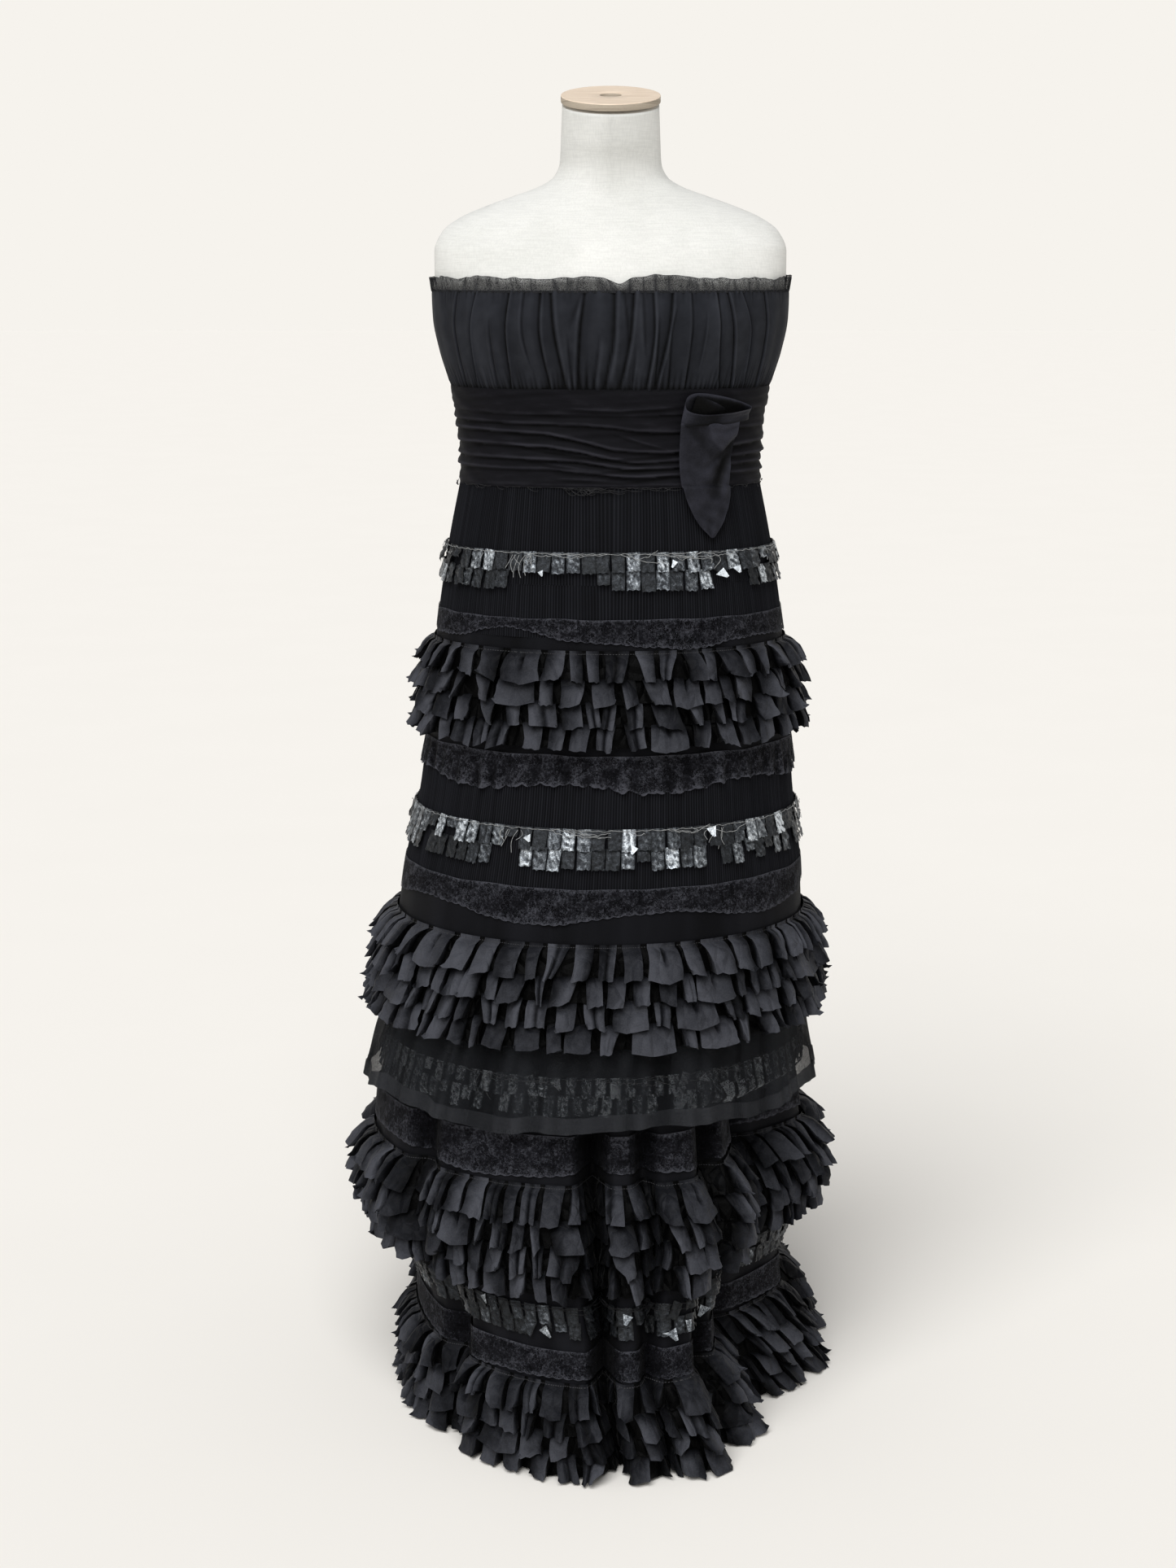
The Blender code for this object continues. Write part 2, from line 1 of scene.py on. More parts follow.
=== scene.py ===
"""The looks of the strapless gown on its dress form.

Metres, in the frame's own coordinates. Every piece of cloth is a thin sheet that lies on the same sections
as its CAD solid, with the finer folds, pleats, tabs and threads that the solids leave out.
"""

import math
from collections import namedtuple

import bpy
import numpy as np
from mathutils import Matrix, Vector


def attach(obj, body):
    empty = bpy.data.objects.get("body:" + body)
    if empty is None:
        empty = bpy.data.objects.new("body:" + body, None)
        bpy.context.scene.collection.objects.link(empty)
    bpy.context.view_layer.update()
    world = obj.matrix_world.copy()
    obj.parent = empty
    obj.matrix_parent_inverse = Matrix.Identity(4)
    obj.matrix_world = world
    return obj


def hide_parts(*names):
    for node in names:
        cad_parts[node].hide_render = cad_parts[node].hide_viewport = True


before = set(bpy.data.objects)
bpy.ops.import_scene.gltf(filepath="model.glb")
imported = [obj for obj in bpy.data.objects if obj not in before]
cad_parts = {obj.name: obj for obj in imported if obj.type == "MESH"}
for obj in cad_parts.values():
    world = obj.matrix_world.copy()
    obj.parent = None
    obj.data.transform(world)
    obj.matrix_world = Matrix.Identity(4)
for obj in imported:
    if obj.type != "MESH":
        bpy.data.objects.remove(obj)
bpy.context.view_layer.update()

NECKLINE = 1.277
WAIST_SEAM = 1.173
CUMMERBUND_FOOT = 1.067
SKIRT_TOP = 1.0667
UPPER_SKIRT_FOOT = 0.466

# One level of a panel: its height, half its width, its depth in front and behind, the power of its outline (2
# is an ellipse), how far it lies to the viewer's right and behind the middle, and its rise towards the back.
SECTION_FIELDS = "height half_width front back power shift middle lean"
Section = namedtuple("Section", SECTION_FIELDS, defaults=(2.0, 0, 0, 0))


def sections(*rows):
    return [Section(*row) for row in rows]


FORM = sections(
    (1.477, 0.0530, 0.0530, 0.0530, 2.0, 0, -0.012, 0.242),
    (1.440, 0.0545, 0.0540, 0.0540, 2.0, 0, -0.006, 0.120),
    (1.413, 0.0560, 0.0550, 0.0550, 2.0, 0, 0.001),
    (1.398, 0.0630, 0.0580, 0.0580, 2.0, 0, 0.005),
    (1.388, 0.0790, 0.0615, 0.0610, 2.0, 0, 0.007),
    (1.378, 0.1070, 0.0660, 0.0660, 2.0, 0, 0.008),
    (1.367, 0.1380, 0.0720, 0.0730, 2.1, 0, 0.008),
    (1.355, 0.1660, 0.0790, 0.0790, 2.2, 0, 0.007),
    (1.340, 0.1860, 0.0860, 0.0850, 2.3, 0, 0.005),
    (1.318, 0.1950, 0.0950, 0.0900, 2.4, 0, 0.002),
    (1.277, 0.1945, 0.1070, 0.0935, 2.4),
    (1.246, 0.1930, 0.1130, 0.0940, 2.4),
    (1.210, 0.1860, 0.1130, 0.0940, 2.4),
    (1.173, 0.1755, 0.1100, 0.0940, 2.4),
    (1.125, 0.1665, 0.1050, 0.0940, 2.3),
    (1.096, 0.1640, 0.1030, 0.0960, 2.3),
    (1.067, 0.1650, 0.1050, 0.1020, 2.3),
    (1.000, 0.1740, 0.1150, 0.1200, 2.3),
    (0.900, 0.1830, 0.1220, 0.1360, 2.3),
    (0.825, 0.1700, 0.1110, 0.1240, 2.3),
    (0.800, 0.1330, 0.0840, 0.0940, 2.3),
)
SKIRT = sections(
    (1.0667, 0.1676, 0.1076, 0.1046, 2.3),
    (1.000, 0.1810, 0.1240, 0.1300, 2.2),
    (0.910, 0.1950, 0.1400, 0.1520, 2.1),
    (0.842, 0.2030, 0.1500, 0.1620),
    (0.727, 0.2125, 0.1690, 0.1830, 2.0, -0.003),
    (0.617, 0.2300, 0.1905, 0.2110, 2.0, -0.008),
    (0.466, 0.2430, 0.2160, 0.2450, 2.0, -0.017),
)
OVERLAY = sections(
    (0.488, 0.2411, 0.2123, 0.2400, 2.0, -0.0157),
    (0.466, 0.2430, 0.2160, 0.2450, 2.0, -0.017),
    (0.425, 0.2500, 0.2290, 0.2620, 2.0, -0.0215),
    (0.370, 0.2580, 0.2440, 0.2800, 2.0, -0.0240),
)
UNDERSKIRT = sections(
    (0.520, 0.2350, 0.2035, 0.2294, 2.0, -0.0138),
    (0.466, 0.2396, 0.2126, 0.2416, 2.0, -0.017),
    (0.436, 0.2400, 0.2130, 0.2440, 2.0, -0.0180),
    (0.396, 0.2440, 0.2200, 0.2520, 2.0, -0.0200),
    (0.367, 0.2500, 0.2310, 0.2680, 2.0, -0.0210),
    (0.312, 0.2560, 0.2460, 0.2900, 2.0, -0.0200),
    (0.250, 0.2630, 0.2640, 0.3150, 2.0, -0.0140),
    (0.218, 0.2500, 0.2700, 0.3230, 2.0, -0.0130),
    (0.185, 0.2340, 0.2760, 0.3310, 2.0, -0.0115),
    (0.143, 0.2200, 0.2840, 0.3410, 2.0, -0.0080),
    (0.100, 0.2220, 0.2920, 0.3520, 2.0, -0.0070),
    (0.050, 0.2300, 0.3000, 0.3650, 2.0, 0.0030),
    (0.006, 0.2390, 0.3060, 0.3760, 2.0, 0.0110),
)

# A fold of the underskirt: degrees from the centre front, how far its lips are from there, and its depth.
Fold = namedtuple("Fold", "degrees lip_degrees depth")
FOLDS = [Fold(*row) for row in (
    (0.0, 5.5, 0.045),
    (13.5, 4.5, 0.022),
    (33.0, 7.0, 0.030),
    (60.0, 8.0, 0.015),
    (96.0, 7.0, 0.024),
    (140.0, 7.5, 0.032),
    (180.0, 7.5, 0.030),
    (222.0, 7.5, 0.032),
    (264.0, 7.0, 0.026),
    (312.0, 7.0, 0.018),
)]
BAY = Fold(60.0, 36.0, 0.068)  # the skirt is set back as a whole at the viewer's right
FOLDS_START = 0.396
FOLDS_FULL = 0.367

# A band of lace or foil: the heights of its edges, and the depth and number of its scallops.
Band = namedtuple("Band", "name top foot scallop scallops", defaults=(0, 0))
UPPER_LACE = (
    Band("lace_band_1", 0.926, 0.901, 0.005, 5),
    Band("lace_band_2", 0.779, 0.744, 0.005, 6),
    Band("lace_band_3", 0.636, 0.604, 0.007, 5),
)
LOWER_LACE = (
    Band("lace_band_4", 0.367, 0.325, 0.004, 5),
    Band("lace_band_5", 0.138, 0.1065, 0.002, 5),
)
UPPER_FOIL = (Band("foil_band_1", 0.998, 0.958), Band("foil_band_2", 0.701, 0.658))
LOWER_FOIL = (Band("foil_band_3", 0.430, 0.389), Band("foil_band_4", 0.1865, 0.1530))

# A ruffle tier of four rows: the heights of its ends, its flare, and its pleats' depth and mean width.
Tier = namedtuple("Tier", "name top foot flare wave pitch")
UPPER_TIERS = (
    Tier("ruffle_1", 0.889, 0.789, 0.0130, 0.0064, 0.0262),
    Tier("ruffle_2", 0.573, 0.466, 0.0180, 0.0080, 0.0252),
)
LOWER_TIERS = (
    Tier("ruffle_3", 0.312, 0.202, 0.0205, 0.0090, 0.0252),
    Tier("ruffle_4", 0.100, 0.004, 0.0175, 0.0085, 0.0262),
)
ROW_OVERLAP = 0.005


def bell(x, middle=0, width=1):
    """1 at the middle, falling away smoothly to both sides."""
    return np.exp(-(((x - middle) / width) ** 2))


def unit(x):
    return np.clip(x, 0, 1)


def monotone(xs, ys, x):
    """A curve through the points that never swings past them (Fritsch and Carlson). xs rise."""
    step = np.diff(xs)
    slope = np.diff(ys) / step
    tangent = np.zeros_like(ys)
    tangent[0], tangent[-1] = slope[0], slope[-1]
    same = slope[:-1] * slope[1:] > 0
    w1, w2 = 2 * step[1:] + step[:-1], step[1:] + 2 * step[:-1]
    safe = np.where(same, slope[:-1], 1), np.where(same, slope[1:], 1)
    tangent[1:-1] = np.where(same, (w1 + w2) / (w1 / safe[0] + w2 / safe[1]), 0)
    x = np.clip(x, xs[0], xs[-1])
    i = np.clip(np.searchsorted(xs, x, side="right") - 1, 0, len(step) - 1)
    u = (x - xs[i]) / step[i]
    return (
        ys[i] * (1 + 2 * u) * (1 - u) ** 2
        + ys[i + 1] * u**2 * (3 - 2 * u)
        + step[i] * (tangent[i] * u * (1 - u) ** 2 + tangent[i + 1] * u**2 * (u - 1))
    )


class Surface:
    """The smooth outside of a panel. Turn 0 is the centre front and a quarter turn is the viewer's right."""

    def __init__(self, table, ripple=None):
        rows = sorted(table, key=lambda row: row.height)
        self.heights = np.array([row.height for row in rows])
        self.values = np.array([row[1:] for row in rows])
        self.ripple = ripple

    def section(self, z, t):
        width, front, back, power, shift, middle, lean = (monotone(self.heights, v, z) for v in self.values.T)
        s, c = np.sin(t), np.cos(t)
        x = width * np.sign(s) * np.abs(s) ** (2 / power) + shift
        y = -np.where(c > 0, front, back) * np.sign(c) * np.abs(c) ** (2 / power) + middle
        return np.stack(np.broadcast_arrays(x, y, z + lean * y), axis=-1)

    @staticmethod
    def level(before, after):
        step = after - before
        n = np.stack([step[..., 1], -step[..., 0], 0 * step[..., 0]], axis=-1)
        return n / np.maximum(np.linalg.norm(n, axis=-1, keepdims=True), 1e-9)

    def away(self, z, t):
        return self.level(self.section(z, t - 0.02), self.section(z, t + 0.02))

    def points(self, z, t):
        z, t = np.broadcast_arrays(np.asarray(z, float), np.asarray(t, float))
        found = self.section(z, t)
        if self.ripple:
            found = found + self.away(z, t) * self.ripple(z, t)[..., None]
        return found

    def normals(self, z, t, reach=0.004):
        return self.level(self.points(z, t - reach), self.points(z, t + reach))

    def at(self, z, t, off=0.0, flare=0.0):
        """Points at a distance off the surface, and then flared out from the panel's plain section."""
        z, t = np.broadcast_arrays(np.asarray(z, float), np.asarray(t, float))
        found = self.points(z, t) + self.normals(z, t) * np.broadcast_to(off, z.shape)[..., None]
        if np.any(flare):
            found = found + self.away(z, t) * np.broadcast_to(flare, z.shape)[..., None]
        return found

    def arc(self, z):
        """(turns, arc lengths) round the surface at one height, from centre back to centre back."""
        turns = np.linspace(-math.pi, math.pi, 7201)
        steps = np.linalg.norm(np.diff(self.points(z, turns), axis=0), axis=1)
        return turns, np.concatenate([[0], np.cumsum(steps)])


def bust(z, t):
    turned = (t + math.pi) % (2 * math.pi) - math.pi
    across = bell(np.abs(turned), math.radians(24), math.radians(19))
    return 0.013 * across * bell(z, 1.240, 0.042)


def fold_growth(z):
    return unit((FOLDS_START - z) / (FOLDS_START - FOLDS_FULL))


def from_fold(fold, t):
    """How far a turn is from the fold's bottom: 1 is at its lips."""
    return np.abs((np.degrees(t) - fold.degrees + 180.0) % 360.0 - 180.0) / fold.lip_degrees


def deep_folds(z, t):
    """The underskirt's folds, with a rounded valley and rounded lips."""
    pull = 0 * t
    for fold in (*FOLDS, BAY):
        u = unit(from_fold(fold, t))
        pull = pull + fold.depth * (0.35 * (1 - u) + 0.65 * (0.5 + 0.5 * np.cos(math.pi * u)))
    return -fold_growth(z) * pull


def folded_away(z, t):
    """1 in the bottom of the underskirt's folds, where little light comes, and 0 on its panels."""
    dark = 0 * t
    for fold in FOLDS:
        dark = np.maximum(dark, np.exp(-((from_fold(fold, t) / 0.78) ** 4)) * min(1.0, fold.depth / 0.028))
    return fold_growth(z) * dark


def soft_waves(z, t):
    growth = np.clip((UPPER_SKIRT_FOOT - z) / (UPPER_SKIRT_FOOT - OVERLAY[-1].height), 0, None)
    return growth * 0.0045 * (1.0 + np.sin(5 * t + 0.6))


def wander(seed, t, counts, spread=1.0):
    """A closed, uneven wave round the gown: sines of these counts, with phases from the seed."""
    chance = np.random.RandomState(seed)
    total = 0 * t
    for count in counts:
        total = total + chance.uniform(0.5, 1.0) * np.sin(count * t + chance.uniform(0, 6.28))
    return spread * total / len(counts) ** 0.5


def beside(x, y, path, width):
    """1 on a path of (x, y, weight) places in metres, and less away from it."""
    total = 0 * x * y
    for (x0, y0, w0), (x1, y1, w1) in zip(path, path[1:]):
        along = (x - x0) * (x1 - x0) + (y - y0) * (y1 - y0)
        share = unit(along / max((x1 - x0) ** 2 + (y1 - y0) ** 2, 1e-12))
        away = np.hypot(x - x0 - share * (x1 - x0), y - y0 - share * (y1 - y0))
        total = np.maximum(total, (w0 + share * (w1 - w0)) * bell(away, 0, width))
    return total


def within(x, y, corners, soft):
    """1 inside a convex shape of (x, y) corners in order, falling to 0 over the soft width at its edges."""
    inside = 1.0 + 0 * x * y
    for (x0, y0), (x1, y1) in zip(corners, (*corners[1:], corners[0])):
        away = ((x - x0) * (y1 - y0) - (y - y0) * (x1 - x0)) / math.hypot(x1 - x0, y1 - y0)
        inside = inside / (1 + np.exp(np.clip(away / soft * 4, -30, 30)))
    return inside


def crumple(seed, x, y, size, spread):
    """Uneven dents over a flat cut: x and y in metres, size is a dent's width."""
    chance = np.random.RandomState(seed)
    total = 0 * x
    for _ in range(7):
        angle, rate = chance.uniform(0, 6.28), 6.28 / size * chance.uniform(0.6, 1.6)
        total = total + np.sin(rate * (x * math.cos(angle) + y * math.sin(angle)) + chance.uniform(0, 6.28))
    return spread * total / 7**0.5


form = Surface(FORM, bust)
skirt = Surface(SKIRT)
underskirt = Surface(UNDERSKIRT, deep_folds)
overlay = Surface(OVERLAY, soft_waves)


# Materials

class Shader:
    """A material under a principled shader, built node by node. Coordinates are in metres."""

    def __init__(self, name, roughness, **inputs):
        self.material = bpy.data.materials.new(name)
        self.material.use_nodes = True
        self.tree = self.material.node_tree
        self.main = self.tree.nodes["Principled BSDF"]
        self.main.inputs["Roughness"].default_value = roughness
        for key, value in inputs.items():
            self.main.inputs[key.replace("_", " ")].default_value = value
        self.place = self.tree.nodes.new("ShaderNodeTexCoord")
        self.height = None

    def node(self, kind, settings=(), **inputs):
        made = self.tree.nodes.new("ShaderNode" + kind)
        for key, value in dict(settings).items():
            setattr(made, key, value)
        for key, value in inputs.items():
            numbered = key[0] == "i" and key[1:].isdigit()
            socket = made.inputs[int(key[1:]) if numbered else key.replace("_", " ")]
            if isinstance(value, bpy.types.NodeSocket):
                self.tree.links.new(value, socket)
            else:
                socket.default_value = value
        return made

    def math(self, operation, a, b=0.0):
        return self.node("Math", {"operation": operation}, i0=a, i1=b).outputs[0]

    def times(self, a, b):
        return self.math("MULTIPLY", a, b)

    def plus(self, a, b):
        return self.math("ADD", a, b)

    def scaled(self, value, factor, offset):
        return self.node("Math", {"operation": "MULTIPLY_ADD"}, i0=value, i1=factor, i2=offset).outputs[0]

    def uv(self):
        parts = self.node("SeparateXYZ", (), Vector=self.place.outputs["UV"])
        return parts.outputs[0], parts.outputs[1]

    def stretched(self, where, stretch):
        where = where or self.place.outputs["Object"]
        return self.node("Mapping", (), Vector=where, Scale=stretch).outputs[0] if stretch else where

    def noise(self, scale, detail=3.0, where=None, stretch=None, rough=0.5):
        where = self.stretched(where, stretch)
        made = self.node("TexNoise", (), Vector=where, Scale=scale, Detail=detail, Roughness=rough)
        return made.outputs["Fac"]

    def cells(self, scale, feature="F1", where=None, stretch=None):
        where = self.stretched(where, stretch)
        return self.node("TexVoronoi", {"feature": feature}, Vector=where, Scale=scale).outputs["Distance"]

    def ramp(self, value, *stops):
        made = self.node("ValToRGB", (), Fac=value)
        band = made.color_ramp
        while len(band.elements) < len(stops):
            band.elements.new(0.5)
        for element, (place, colour) in zip(band.elements, stops):
            element.position = place
            element.color = (*(colour if hasattr(colour, "__len__") else (colour,) * 3), 1)
        return made.outputs[0]

    def mix(self, share, a, b, how="MIX"):
        def four(value):
            return (*value, 1) if isinstance(value, tuple) and len(value) == 3 else value

        made = self.node("Mix", {"data_type": "RGBA", "blend_type": how}, i0=share, i6=four(a), i7=four(b))
        return made.outputs[2]

    def attribute(self, name):
        return self.node("Attribute", {"attribute_name": name}).outputs["Fac"]

    def toned(self, scale, spread, stretch=None):
        """The tone attribute, with a cloudy change over it: on satin and dull cloth it is painted shade from
        0 in a crease to painted light at 1 on a ridge, on tulle how thick the net lies.
        """
        cloudy = self.scaled(self.noise(scale, 3, stretch=stretch), spread * 2, -spread)
        return self.plus(self.attribute("tone"), cloudy)

    def colour(self, value):
        if isinstance(value, tuple):
            self.main.inputs["Base Color"].default_value = (*value, 1)
        else:
            self.tree.links.new(value, self.main.inputs["Base Color"])

    def set(self, name, value):
        self.tree.links.new(value, self.main.inputs[name])

    def bump(self, height, distance, strength=1.0):
        """Adds relief: a height from 0 to 1 and how many metres 1 stands for."""
        inputs = {"Height": height, "Distance": distance, "Strength": strength}
        if self.height:
            inputs["Normal"] = self.height
        self.height = self.node("Bump", (), **inputs).outputs[0]
        self.tree.links.new(self.height, self.main.inputs["Normal"])

    def weave(self, pitch, distance):
        """A plain weave from the piece's own cloth coordinates."""
        u, v = self.uv()
        rate = 2 * math.pi / pitch
        woven = self.times(self.math("SINE", self.times(u, rate)), self.math("SINE", self.times(v, rate)))
        self.bump(self.scaled(woven, 0.5, 0.5), distance)


def make_satin(name, low, high, roughness, gloss=0.5):
    """Black satin-backed cloth: a soft sheen, faint cross yarns, and a ramp over the tone that paints shade
    in creases and gaps and light on ridges, and differs from flap to flap.
    """
    cloth = Shader(name, roughness, Specular_IOR_Level=gloss, Sheen_Weight=0.01, Sheen_Roughness=0.45)
    grain = cloth.times(cloth.math("SUBTRACT", cloth.noise(620, 4, rough=0.8), 0.5), 0.7)
    share = cloth.plus(cloth.toned(75, 0.20), cloth.times(grain, cloth.attribute("tone")))
    # Painted shade: the lowest tones, in creases and in the gaps between flaps, go nearly black.
    black, dark = (tuple(v * k for v in low) for k in (0.03, 0.30))
    cloth.colour(cloth.ramp(share, (0.06, black), (0.22, dark), (0.45, low), (1.0, high)))
    cloth.bump(cloth.noise(150, 3, rough=0.6), 0.0007)
    cloth.bump(cloth.noise(700, 2, stretch=(1, 1, 0.3)), 0.00016)
    cloth.weave(0.0007, 0.00003)
    return cloth


def make_ruffle_satin():
    """The ruffles' satin: also a line of stitches along the header, and sharp creases."""
    cloth = make_satin("ruffle_satin", (0.0092, 0.0098, 0.0122), (0.0515, 0.0540, 0.0645), 0.52, 0.04)
    stitch_at, stitch_every, stitch_colour = 0.0035, 0.0032, (0.040, 0.040, 0.043)
    u, v = cloth.uv()
    near = cloth.math("LESS_THAN", cloth.math("ABSOLUTE", cloth.math("SUBTRACT", v, stitch_at)), 0.00034)
    dash = cloth.math("LESS_THAN", cloth.math("FRACT", cloth.times(u, 1 / stitch_every)), 0.55)
    line = cloth.times(near, dash)
    before = cloth.main.inputs["Base Color"].links[0].from_socket
    cloth.colour(cloth.mix(line, before, stitch_colour))
    cloth.bump(line, 0.0003)
    creases = cloth.cells(62, "DISTANCE_TO_EDGE", stretch=(1, 1, 0.55))
    cloth.bump(cloth.ramp(creases, (0.0, 0.0), (0.22, 0.8), (0.5, 1.0)), 0.0020)
    return cloth.material


def make_cloth(name, roughness, clouds, colours, grain, relief, woven=True, **inputs):
    """A dull cloth. By the tone its colours are painted shade in its creases, its plain colour on its flat
    parts and painted light on its ridges.
    """
    cloth = Shader(name, roughness, **inputs)
    cloth.colour(cloth.ramp(cloth.toned(*clouds), *zip((0.0, 0.5, 1.0), colours)))
    cloth.bump(cloth.noise(*grain), relief)
    if woven:
        cloth.weave(0.0006, 0.00004)
    return cloth.material


def make_thread(name, roughness, gloss, scale, low, high):
    thread = Shader(name, roughness, Specular_IOR_Level=gloss)
    thread.colour(thread.ramp(thread.noise(scale), (0.3, low), (0.8, high)))
    thread.bump(thread.noise(3000, 1), 0.0001)
    return thread.material


def make_foil_material():
    """Crinkled pewter foil, from nearly black to a bright painted glint."""
    foil = Shader("crinkled_foil", 0.36, Metallic=0.72, Specular_IOR_Level=0.4)
    tone = foil.attribute("tone")
    fine = foil.times(foil.noise(560, 5, rough=0.8), foil.noise(130, 3, rough=0.6))
    streak = foil.cells(330, "DISTANCE_TO_EDGE", stretch=(1, 1, 0.6))
    # The tone brings each tab's random brightness, with painted shade at its rim and painted light on its
    # dents; glint is a painted highlight along the crinkles' edges.
    shade = foil.times(tone, foil.times(fine, 3.7))
    glint = foil.times(foil.math("LESS_THAN", streak, 0.040), foil.times(tone, 0.42))
    colours = (0.006, 0.0065, 0.007), (0.030, 0.034, 0.040), (0.19, 0.21, 0.232), (0.68, 0.73, 0.78)
    foil.colour(foil.ramp(foil.plus(shade, glint), *zip((0.0, 0.30, 0.65, 1.0), colours)))
    foil.set("Roughness", foil.ramp(foil.noise(260, 2), (0.3, 0.26), (0.7, 0.5)))
    foil.bump(foil.noise(260, 4, rough=0.7), 0.0014)
    foil.bump(foil.cells(210), 0.0007)
    return foil.material


def make_linen():
    linen = Shader("form_linen", 0.82, Specular_IOR_Level=0.25, Sheen_Weight=0.05)
    slub_across = linen.noise(700, 2, stretch=(0.08, 0.08, 1))
    slub_along = linen.noise(700, 2, stretch=(1, 1, 0.06))
    base = linen.ramp(linen.noise(14, 4), (0.3, (0.64, 0.645, 0.62)), (0.7, (0.72, 0.722, 0.70)))
    slubs = linen.ramp(linen.times(slub_across, slub_along), (0.12, 0.90), (0.34, 1.0))
    linen.colour(linen.mix(1.0, base, slubs, "MULTIPLY"))
    linen.bump(slub_across, 0.00016)
    linen.bump(slub_along, 0.00016)
    linen.weave(0.0011, 0.00010)
    return linen.material


def make_wood():
    wood = Shader("cap_plywood", 0.55, Specular_IOR_Level=0.35)
    grain = wood.noise(30, 5, stretch=(1, 9, 3), rough=0.6)
    wood.colour(wood.ramp(grain, (0.3, (0.62, 0.50, 0.39)), (0.7, (0.78, 0.66, 0.53))))
    wood.bump(grain, 0.0003)
    wood.bump(wood.noise(500, 2, stretch=(1, 9, 1)), 0.0001)
    return wood.material


def make_ply():
    """The cut plies that show at the cap's rim and in its recess."""
    ply = Shader("cap_ply_edge", 0.7, Specular_IOR_Level=0.25)
    layers = ply.noise(1, 1, stretch=(8, 8, 620))
    speck = ply.noise(900, 3, stretch=(1, 1, 4))
    edge = ply.ramp(layers, (0.40, (0.335, 0.285, 0.225)), (0.6, (0.47, 0.405, 0.325)))
    ply.colour(ply.mix(1.0, edge, ply.ramp(speck, (0.3, 0.8), (0.7, 1.05)), "MULTIPLY"))
    ply.bump(speck, 0.0003)
    return ply.material


def make_steel():
    steel = Shader("stand_steel", 0.42, Metallic=0.6)
    steel.colour(steel.ramp(steel.noise(20, 4), (0.3, (0.22, 0.22, 0.225)), (0.7, (0.31, 0.31, 0.315))))
    steel.bump(steel.noise(1600, 2), 0.00008)
    return steel.material


def make_lace_material():
    """Black lace: a fine net, dense worked shapes on it, and a heavier thread that outlines them."""
    lace = Shader("black_lace", 0.80, Specular_IOR_Level=0.04, Sheen_Weight=0.01)
    flat_place = lace.place.outputs["UV"]
    yarn = lace.math("LESS_THAN", lace.cells(620, "DISTANCE_TO_EDGE", flat_place), 0.15)
    shapes = lace.noise(80, 1, flat_place)
    outline = lace.math("LESS_THAN", lace.math("ABSOLUTE", lace.math("SUBTRACT", shapes, 0.5)), 0.020)
    grain = lace.math("GREATER_THAN", lace.noise(800, 2, flat_place), 0.40)
    worked = lace.times(lace.math("GREATER_THAN", shapes, 0.50), grain)
    edge = lace.math("GREATER_THAN", lace.attribute("tone"), 0.80)
    heavy = lace.math("MAXIMUM", outline, edge)
    solid = lace.math("MAXIMUM", lace.math("MAXIMUM", yarn, worked), heavy)
    broad = lace.scaled(lace.noise(110, 3, rough=0.65), 0.30, 0.36)
    speckle = lace.times(lace.noise(330, 4, rough=0.9), broad)
    # The tone brings heavier threads at the strip's edges, random clouds, painted light on gathered folds and
    # painted shade in the underskirt's folds.
    shade = lace.times(lace.times(speckle, 2.0), lace.plus(lace.attribute("tone"), 0.5))
    shade = lace.plus(shade, lace.times(heavy, 0.04))
    colours = (0.0009, 0.0009, 0.0013), (0.0056, 0.0058, 0.0076), (0.0440, 0.0455, 0.0550)
    thread = lace.ramp(shade, *zip((0.30, 0.50, 0.74), colours))
    lace.colour(lace.mix(solid, (0.0014, 0.0014, 0.0018), thread))
    lace.bump(solid, 0.0005)
    lace.set("Alpha", lace.scaled(solid, 0.60, 0.40))
    return lace.material


def make_tulle(name, cover, pitch, gathers, low, high):
    """Sheer net. Cover is the share of light that it stops, and gathers is what its thick places add."""
    tulle = Shader(name, 0.8, Specular_IOR_Level=0.03, Sheen_Weight=0.01, Sheen_Roughness=0.5)
    tulle.colour(tulle.ramp(tulle.toned(25, 0.20, (1, 1, 0.4)), (0.0, low), (0.75, high), (1.0, low)))
    net = tulle.cells(1 / pitch * 1.6, "DISTANCE_TO_EDGE", tulle.place.outputs["UV"])
    yarn = tulle.math("LESS_THAN", net, 0.14)
    closed = tulle.scaled(yarn, 1 - cover, cover - 0.12)
    thick = tulle.times(tulle.attribute("tone"), gathers)
    tulle.set("Alpha", tulle.math("MINIMUM", tulle.plus(closed, thick), 0.97))
    tulle.bump(yarn, 0.0002)
    return tulle.material


